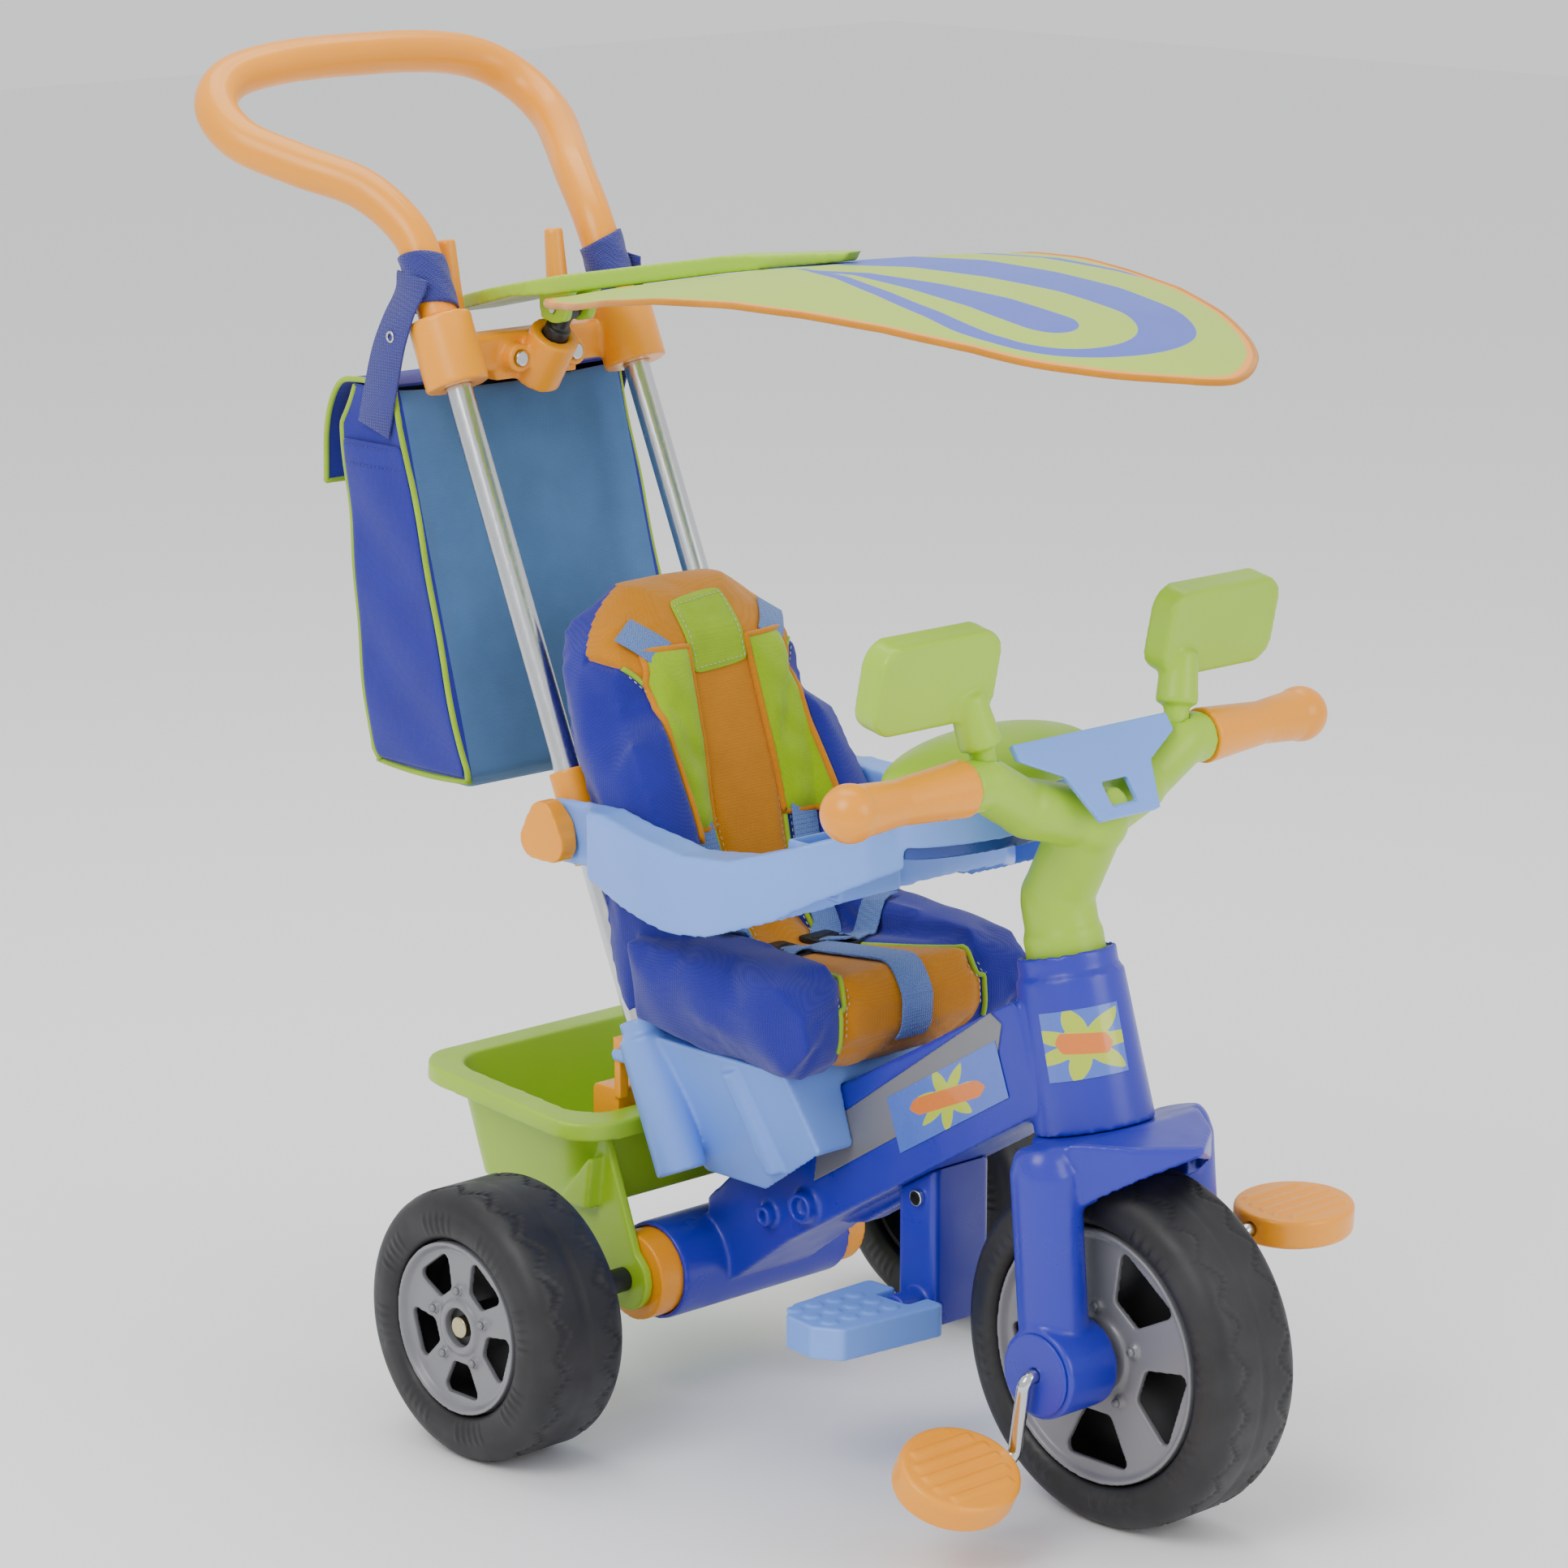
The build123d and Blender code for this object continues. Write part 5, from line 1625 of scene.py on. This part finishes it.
    def pad(self, side: int) -> None:
        """Shoulder pad with its orange binding.

        Args:
            side: -1 for right, 1 for left.
        """
        name = "right" if side < 0 else "left"
        middle, half = side * 51.0, 17.0
        rows, columns = 36, 10
        top, bottom = 560.0, 432.0
        verts, edge = [], []
        for j in range(rows + 1):
            v = j / rows
            z = bottom + (top - bottom) * v
            for i in range(columns + 1):
                u = 2 * i / columns - 1
                puff = (1 - u ** 4) * (1 - (2 * v - 1) ** 8)
                ripple = 0.8 * math.sin(v * 26 + u * 2) * (1 - u * u)
                y = middle + u * (half + 2) - side * (v - 0.5) * 6
                base = self.skin.drop(at(240, y, z), Vector((-1, 0, 0)), 2.5)
                verts.append(base + Vector((0.95, 0, 0.3)) * (6.5 * puff + ripple) * MM)
        size = len(verts)
        flat = []
        for j in range(rows + 1):
            for i in range(columns + 1):
                front = verts[j * (columns + 1) + i]
                u, v = 2 * i / columns - 1, j / rows
                puff = (1 - u ** 4) * (1 - (2 * v - 1) ** 8)
                flat.append(front - Vector((0.95, 0, 0.3)) * (6.5 * puff + 2.2) * MM)
        verts += flat
        faces = []
        wide = columns + 1
        for j in range(rows):
            for i in range(columns):
                a = j * wide + i
                faces.append((a, a + 1, a + wide + 1, a + wide))
                faces.append((size + a, size + a + wide, size + a + wide + 1, size + a + 1))
        rim = [i for i in range(wide)] + [j * wide + columns for j in range(1, rows + 1)]
        rim += [rows * wide + i for i in range(columns - 1, -1, -1)]
        rim += [j * wide for j in range(rows - 1, 0, -1)]
        for a, b in zip(rim, rim[1:] + rim[:1]):
            faces.append((a, size + a, size + b, b))
        piece = make_piece(f"shoulder_pad_{name}", verts, faces)
        divide = piece.modifiers.new("divide", "SUBSURF")
        divide.levels = 1
        bake(piece)
        self.palette.give(piece, Slot.PAD)
        self.place(piece, "frame", "shoulder_pads")
        edge = [(verts[a] + verts[size + a]) / 2 for a in rim]
        binding = tube(f"pad_binding_{name}", edge, 2.6 * MM, 8, closed=True)
        binding.data.materials.append(self.palette.binding)
        self.place(binding, "frame")

    def shoulder_webbing(self, side: int) -> None:
        """Light-blue strap from the slot above the pad, under it and down to the buckle.

        Args:
            side: -1 for right, 1 for left.
        """
        name = "right" if side < 0 else "left"
        line = []
        for z in (574, 569, 563, 556):
            line.append(self.skin.drop(at(240, side * (52 + (z - 556) * 1.1), z),
                                       Vector((-1, 0, 0)), 2.2))
        upper = ribbon(f"shoulder_loop_{name}", spline(line, 4), Vector((0, 0.9, -0.35 * side)),
                       24 * MM)
        self.palette.give(upper, Slot.STRAP)
        self.place(upper, "frame")
        line = []
        for z in range(436, 366, -10):
            line.append(self.skin.drop(at(240, side * (52 - (436 - z) * 0.12), z),
                                       Vector((-1, 0, 0)), 2.2))
        for x in (52, 62, 72):
            line.append(self.skin.drop(at(x, side * (43 - (x - 52) * 0.9), 520),
                                       Vector((0, 0, -1)), 3.5))
        lower = ribbon(f"shoulder_strap_{name}", spline(line, 4), Vector((0, 1, 0)), 24 * MM)
        self.palette.give(lower, Slot.STRAP)
        self.place(lower, "frame", "harness_webbing")

    def waist_webbing(self) -> None:
        """Crotch strap that loops over the cushion's front, and the waist strap between buckles."""
        line = [self.skin.drop(at(x, 0, 520), Vector((0, 0, -1)), 2.5) for x in range(84, 184, 8)]
        line += [self.skin.drop(at(320, 0, z), Vector((-1, 0, 0)), 2.5) for z in (336, 326, 312, 303)]
        strap = ribbon("crotch_strap", spline(line, 3), Vector((0, 1, 0)), 30 * MM, 1.8 * MM)
        self.palette.give(strap, Slot.STRAP)
        self.place(strap, "frame")
        for side, name in ((-1, "right"), (1, "left")):
            line = [self.skin.drop(at(88 - 0.25 * (y - 20), side * y, 520), Vector((0, 0, -1)),
                                   4.5 if y < 40 else 2.0) for y in (14, 24, 34, 46, 58, 70, 84)]
            belt = ribbon(f"waist_strap_{name}", spline(line, 3), Vector((1, 0, 0.2)), 24 * MM)
            self.palette.give(belt, Slot.STRAP)
            self.place(belt, "frame")

    def buckle_bars(self) -> None:
        """Raised ribs and side prongs on each buckle."""
        low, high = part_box("buckles")
        for side, name in ((-1, "right"), (1, "left")):
            bars = []
            for i in range(4):
                x = low.x + (high.x - low.x) * (0.3 + 0.14 * i)
                start = Vector((x, side * 13 * MM, high.z))
                bars.append(tube(f"bar_{i}", [start, Vector((x, side * 33 * MM, high.z))],
                                 1.1 * MM, 6))
            piece = join(f"buckle_bars_{name}", bars)
            clean(piece)
            self.palette.give(piece, Slot.BLACK)
            self.place(piece, "frame")


# ---------------------------------------------------------------- bag
@dataclass
class ToteBag(Assembly):
    """Soft bag behind the push tubes, with its flap, piping and hanging straps."""
    repeats: Repeats | None = None
    half: float = 112.0

    FRONT = ((438, -172), (452, -172), (732, -250))
    REAR = ((438, -268), (450, -286), (590, -303), (700, -316), (732, -300))

    def build(self) -> None:
        """Make the soft pieces."""
        self.shell()
        self.piping()
        self.pocket()
        self.flap()
        for side in (-1, 1):
            self.strap(side)

    def corner(self, z: float, share: float, inset: float = 0.0) -> Vector:
        """Point on the bag's wall at a height, at a share of the way round from the front middle.

        Args:
            z: height in millimetres.
            share: 0 to 1 round the bag, starting in the middle of the front.
            inset: distance inside the wall.
        Returns:
            The point in axle millimetres.
        """
        front = along(self.FRONT, z)[0] - inset
        rear = along(self.REAR, z)[0] + inset
        side = self.half - inset
        depth = front - rear
        around = 2 * (2 * side + depth)
        run = share * around
        spots = ((front, 0), (front, side), (rear, side), (rear, -side), (front, -side), (front, 0))
        for a, b in zip(spots, spots[1:]):
            length = math.hypot(b[0] - a[0], b[1] - a[1])
            if run <= length + 1e-9:
                t = run / length
                return Vector((a[0] + (b[0] - a[0]) * t, a[1] + (b[1] - a[1]) * t, z))
            run -= length
        return Vector((front, 0, z))

    def sag(self, p: Vector) -> Vector:
        """Slack folds and a little belly, in millimetres.

        Args:
            p: a place in axle millimetres.
        Returns:
            The moved place.
        """
        x, y, z = p
        fade = smooth_step(436, 470, z)
        belly = 3.5 * fade * (1 - smooth_step(640, 735, z))
        fold = 1.6 * math.sin(z / 31 + y / 40) + 1.1 * math.sin(z / 13 + x / 15 + y / 22)
        side = smooth_step(self.half - 14, self.half - 1, abs(y))
        middle_x = (along(self.FRONT, z)[0] + along(self.REAR, z)[0]) / 2
        push_x = (1 if x > middle_x else -1) * (1 - side) * (fold * 0.6 * fade - belly * 0.3)
        push_y = math.copysign(side, y) * (belly * 0.8 - 2 + fold * 0.8 * fade)
        return Vector((x + push_x, y + push_y, z))

    def shell(self) -> None:
        """Outer skin, rolled top edge and inner skin in one closed cloth."""
        rows, columns = 80, 176
        verts, faces = [], []
        levels = [439 + (732 - 439) * (i / rows) for i in range(rows + 1)]
        rounded = [8.0 * (1 - smooth_step(0, 3, i)) for i in range(rows + 1)]
        layers = [(z, r) for z, r in zip(levels, rounded)]
        layers += [(z, 2.2) for z in reversed(levels[2:])]
        for z, inset in layers:
            for k in range(columns):
                p = self.sag(self.corner(z, k / columns, inset))
                droop = 5 * (1 - (p.y / self.half) ** 2) * smooth_step(715, 732, z)
                verts.append(at(p.x, p.y, p.z - droop))
        for i in range(len(layers) - 1):
            for k in range(columns):
                n = (k + 1) % columns
                faces.append((i * columns + k, i * columns + n, (i + 1) * columns + n,
                              (i + 1) * columns + k))
        faces.append(tuple(range(columns)))
        faces.append(tuple((len(layers) - 1) * columns + k for k in range(columns)))
        piece = make_piece("bag_shell", verts, faces)
        relax = piece.modifiers.new("relax", "SMOOTH")
        relax.factor = 0.5
        relax.iterations = 3
        bake(piece)
        clean(piece)
        paint(piece, "panel", lambda p: 3.0 * (abs(p.y) - self.half + 4.5))
        self.palette.give(piece, Slot.BAG)
        self.place(piece, "frame", "tote_bag")

    def piping(self) -> None:
        """Green piping down both edges of each side panel and round the bottom."""
        for side, name in ((-1, "right"), (1, "left")):
            for edge, place in (("front", self.FRONT), ("rear", self.REAR)):
                line = []
                for i in range(40):
                    z = 730 - (730 - 446) * i / 39
                    x = along(place, z)[0] + (-2.5 if edge == "front" else 2.5)
                    p = self.sag(Vector((x, side * self.half, z)))
                    line.append(at(p.x, p.y - side * 1.0, p.z))
                cord = tube(f"bag_piping_{edge}_{name}", spline(line, 2), 2.4 * MM, 8)
                cord.data.materials.append(self.palette.piping)
                self.place(cord, "frame")
            line = [at(-175 - (283 - 175) * i / 14, side * (self.half - 5), 442 + 3 * ((i - 7) / 7) ** 2)
                    for i in range(15)]
            cord = tube(f"bag_piping_low_{name}", line, 2.4 * MM, 8)
            cord.data.materials.append(self.palette.piping)
            self.place(cord, "frame")

    def pocket(self) -> None:
        """Open pocket sewn over the upper part of each side panel, with a turned hem."""
        for side, name in ((-1, "right"), (1, "left")):
            verts, faces = [], []
            rows, columns = 26, 12
            low, high = 448.0, 690.0
            for j in range(rows + 1):
                z = low + (high - low) * j / rows
                x0, x1 = along(self.FRONT, z)[0] - 4, along(self.REAR, z)[0] + 4
                for i in range(columns + 1):
                    t = i / columns
                    p = self.sag(Vector((x0 + (x1 - x0) * t, side * self.half, z)))
                    gape = 2.2 * math.sin(math.pi * t) * smooth_step(0.6, 1.0, j / rows)
                    verts.append(at(p.x, p.y + side * (1.0 + gape), z))
            for j in range(rows):
                for i in range(columns):
                    a = j * (columns + 1) + i
                    faces.append((a, a + 1, a + columns + 2, a + columns + 1))
            piece = make_piece(f"bag_pocket_{name}", verts, faces)
            solid = piece.modifiers.new("cloth", "SOLIDIFY")
            solid.thickness = 1.2 * MM
            solid.offset = 0
            divide = piece.modifiers.new("divide", "SUBSURF")
            divide.levels = 1
            bake(piece)
            paint(piece, "panel", lambda p: 5.0)
            self.palette.give(piece, Slot.BAG)
            self.place(piece, "frame")
            for drop in (4.0, 18.0):
                z = high - drop
                x0, x1 = along(self.FRONT, z)[0] - 8, along(self.REAR, z)[0] + 8
                line = []
                for i in range(13):
                    p = self.sag(Vector((x0 + (x1 - x0) * i / 12, side * self.half, z)))
                    gape = 2.2 * math.sin(math.pi * i / 12)
                    line.append(at(p.x, p.y + side * (1.9 + gape), z))
                row = self.repeats.stitch(f"pocket_stitches_{name}_{int(drop)}", line,
                                          self.palette.dark_webbing)
                self.place(row, "frame")

    def flap(self) -> None:
        """Flap over the bag's top that hangs down behind, with its piping."""
        line = [Vector(p) for p in ((-252, 0, 734.2), (-275, 0, 734.6), (-298, 0, 734.6),
                                    (-316, 0, 731), (-328, 0, 714), (-334, 0, 690), (-339, 0, 652))]
        path = spline(line, 6)
        columns = 44
        half = self.half - 2
        verts, faces = [], []
        for j, p in enumerate(path):
            v = j / (len(path) - 1)
            for i in range(columns + 1):
                u = 2 * i / columns - 1
                width = half * (1 - 0.03 * smooth_step(0.8, 1.0, v))
                wave = 1.6 * math.sin(u * 7 + v * 2) * smooth_step(0.45, 1, v)
                droop = (1 - u * u) * (1 - smooth_step(0.3, 0.6, v))
                verts.append(at(p.x - wave, u * width, p.z - droop))
        for j in range(len(path) - 1):
            for i in range(columns):
                a = j * (columns + 1) + i
                faces.append((a, a + 1, a + columns + 2, a + columns + 1))
        edge = [verts[i * (columns + 1)] for i in range(len(path))]
        edge += verts[(len(path) - 1) * (columns + 1):]
        edge += [verts[i * (columns + 1) + columns] for i in range(len(path) - 1, -1, -1)]
        edge = [p.copy() for p in edge]
        piece = make_piece("bag_flap_cloth", verts, faces)
        solid = piece.modifiers.new("cloth", "SOLIDIFY")
        solid.thickness = 2.2 * MM
        solid.offset = 0
        divide = piece.modifiers.new("divide", "SUBSURF")
        divide.levels = 1
        bake(piece)
        paint(piece, "panel", lambda p: 5.0)
        self.palette.give(piece, Slot.BAG)
        self.place(piece, "bag_flap", "bag_flap")
        cord = tube("bag_flap_piping", edge, 2.2 * MM, 8)
        cord.data.materials.append(self.palette.piping)
        self.place(cord, "bag_flap")

    def strap(self, side: int) -> None:
        """Dark webbing looped round the handle's leg and sewn to the bag, with an eyelet.

        Args:
            side: -1 for right, 1 for left.
        """
        name = "right" if side < 0 else "left"
        leg = side * 88.0
        verts, faces = [], []
        rows, columns = 12, 40
        run = Vector((-0.44, 0, 1)).normalized()
        out = Vector((1, 0, 0.44)).normalized()
        for j in range(rows + 1):
            z = 792 + 36 * j / rows
            middle = Vector((-211 - 0.44 * (z - 751), leg, z))
            for i in range(columns):
                angle = 2 * math.pi * i / columns
                radius = 16.4 + 0.35 * math.sin(5 * angle + j)
                p = middle + out * radius * math.cos(angle) + Vector((0, 1, 0)) * radius * math.sin(angle)
                p += run * (5 * math.sin(angle) * side)
                verts.append(at(*p))
        for j in range(rows):
            for i in range(columns):
                n = (i + 1) % columns
                faces.append((j * columns + i, j * columns + n, (j + 1) * columns + n,
                              (j + 1) * columns + i))
        band = make_piece(f"strap_band_{name}", verts, faces)
        solid = band.modifiers.new("cloth", "SOLIDIFY")
        solid.thickness = 1.8 * MM
        solid.offset = 0
        bake(band)
        line = [Vector((-236, side * 104.5, 818)), Vector((-238, side * 106, 806)),
                Vector((-244, side * 112, 786)), Vector((-252, side * 115.5, 762)),
                Vector((-262, side * 115.8, 730)), Vector((-271, side * 115.2, 700))]
        fall = ribbon(f"strap_fall_{name}", [at(*p) for p in spline(line, 5)],
                      Vector((1, 0, 0.35)), 36 * MM, 1.8 * MM)
        piece = join(f"bag_strap_{name}", [band, fall])
        clean(piece)
        piece.data.materials.clear()
        piece.data.materials.append(self.palette.dark_webbing)
        self.place(piece, "frame", "bag_straps")
        ring = [at(-249 + 3.6 * math.cos(a), side * 116.0, 772 + 3.6 * math.sin(a))
                for a in (2 * math.pi * k / 20 for k in range(20))]
        eyelet = tube(f"strap_eyelet_{name}", ring, 1.1 * MM, 8, closed=True)
        self.palette.give(eyelet, Slot.STEEL)
        self.place(eyelet, "frame")


# ---------------------------------------------------------------- canopy
@dataclass
class Canopy(Assembly):
    """Printed sheet on its tilting bracket, with a bound edge."""

    LINE = ((-150, 804), (-80, 818), (0, 831), (60, 842), (120, 850), (180, 852.5), (240, 850),
            (300, 845), (360, 836), (420, 822), (477, 806))
    PLAN = ((-150, 48), (-120, 74), (-90, 94), (-60, 110), (-15, 141), (30, 163), (65, 177),
            (100, 184), (140, 182), (200, 170), (250, 157), (300, 144), (340, 130), (380, 112),
            (412, 91), (440, 66), (460, 41), (472, 20), (477, 0.5))

    def build(self) -> None:
        """Make the bracket, pin and sheet."""
        self.moulding("canopy_bracket", "canopy", Slot.GREEN, 1.5, 5, 20)
        self.palette.dress_node("canopy_pin", Slot.STEEL)
        self.sheet()

    def top(self, x: float, y: float) -> Vector:
        """Middle of the sheet at a place in plan: arched lengthways and across."""
        z = along(self.LINE, x)[0]
        half = max(along(self.PLAN, x)[0], 30.0)
        return at(x, y, z - 9 * (y / half) ** 2 * smooth_step(20, 120, half))

    def outline(self) -> list[tuple[float, float]]:
        """Plan outline as a smooth closed line of (x, y)."""
        half = [Vector((x, y, 0)) for x, y in self.PLAN]
        whole = half + [Vector((p.x, -p.y, 0)) for p in reversed(half[:-1])]
        return [(p.x, p.y) for p in spline(whole, 4)]

    def sheet(self) -> None:
        """One continuous curved sheet, thin, with its print painted as distances."""
        outline = self.outline()
        rings = 46
        centre = Vector((150, 0, 0))
        verts: list[Vector] = []
        plan: list[tuple[float, float]] = []
        count = len(outline)
        for ring in range(1, rings + 1):
            share = 1 - (1 - ring / rings) ** 1.15
            for x, y in outline:
                px, py = centre.x + (x - centre.x) * share, y * share
                plan.append((px, py))
                verts.append(self.top(px, py))
        plan.append((centre.x, 0.0))
        verts.append(self.top(centre.x, 0.0))
        faces = []
        for ring in range(rings - 1):
            for k in range(count):
                n = (k + 1) % count
                faces.append((ring * count + k, ring * count + n, (ring + 1) * count + n,
                              (ring + 1) * count + k))
        for k in range(count):
            faces.append((len(verts) - 1, (k + 1) % count, k))
        edge = [v.copy() for v in verts[(rings - 1) * count:rings * count]]
        piece = make_piece("canopy_cloth", verts, faces)
        solid = piece.modifiers.new("cloth", "SOLIDIFY")
        solid.thickness = 2.4 * MM
        solid.offset = 0
        bake(piece)
        paint(piece, "ink", lambda p: self.ink(p.x, p.y))
        paint(piece, "hem", lambda p: self.to_edge(p.x, p.y, outline) - 7.0)
        self.palette.give(piece, Slot.CANOPY)
        self.place(piece, "canopy", "canopy_sheet")
        hem = tube("canopy_binding", edge[:-1], 2.3 * MM, 8, closed=True)
        hem.data.materials.append(self.palette.binding)
        self.place(hem, "canopy")

    @staticmethod
    def to_edge(x: float, y: float, outline: Sequence[tuple[float, float]]) -> float:
        """Distance from a place in plan to the outline."""
        return min(math.hypot(x - a, y - b) for a, b in outline)

    @staticmethod
    def ink(x: float, y: float) -> float:
        """Signed distance inside the blue print: a long teardrop ring and two trailing ribbons.

        Args:
            x: millimetres ahead of the rear axle.
            y: millimetres to the left of the middle.
        Returns:
            The distance, negative outside the print.
        """
        def drop(cx: float, cy: float, r: float, tail: float, lean: float) -> float:
            """Distance inside a teardrop with its round end at (cx, cy) and its tail rearwards."""
            u, v = x - cx, y - cy - lean * (cx - x) * (1 if x < cx else 0)
            if u > 0:
                return r - math.hypot(u, v)
            width = r * (1 - smooth_step(0, tail, -u)) ** 0.8
            return width - abs(v)
        outer = drop(330, -14, 96, 420, 0.10)
        inner = drop(344, -34, 60, 300, 0.02)
        heart = drop(352, -44, 22, 250, -0.02)
        ring = min(outer, -inner)
        ribbon_mid = 62 + 0.20 * (x - 60) + 22 * math.sin((x + 40) / 120)
        ribbon_half = 7 * smooth_step(-90, 60, x) * smooth_step(330, 180, x) if x < 330 else 0
        trail = ribbon_half - abs(y - ribbon_mid - 34) if ribbon_half > 0.2 else -9
        return max(ring, min(heart, 8.0), trail)


# ---------------------------------------------------------------- assembly
def log_size(before: Sequence[float], after: Sequence[float]) -> None:
    """Pair the CAD box with the finished box in a dict that is then thrown away."""
    ({"cad_box": [list(v) if hasattr(v, "__len__") else v for v in before],
               "visual_box": [list(v) if hasattr(v, "__len__") else v for v in after]})


def main() -> None:
    """Build every sub-assembly in order and report it."""
    logging.basicConfig(level=logging.INFO, format="%(relativeCreated)d %(name)s: %(message)s")
    palette = Palette()
    repeats = Repeats()
    Studio().build()
    x = 401.0
    groups: list[Assembly] = [
        Wheel(palette, side="front", body="front_wheel", axle=(x, 0, 125), tyre_r=125, bead_r=92,
              width=78, bolt_r=36, repeats=repeats),
        Wheel(palette, side="right", body="rear_wheel_right", axle=(0, -235, 100), repeats=repeats),
        Wheel(palette, side="left", body="rear_wheel_left", axle=(0, 235, 100), repeats=repeats),
        FrontEnd(palette),
        Chassis(palette),
        SafetyTray(palette),
        PushHandle(palette),
        Seat(palette, repeats=repeats),
        ToteBag(palette, repeats=repeats),
        Canopy(palette),
    ]
    for group in groups:
        group.build()
        log.info("%s: %d pieces", type(group).__name__, len(group.made))
    log_size(CAD_BOX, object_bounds())


if __name__ == "__main__":
    main()
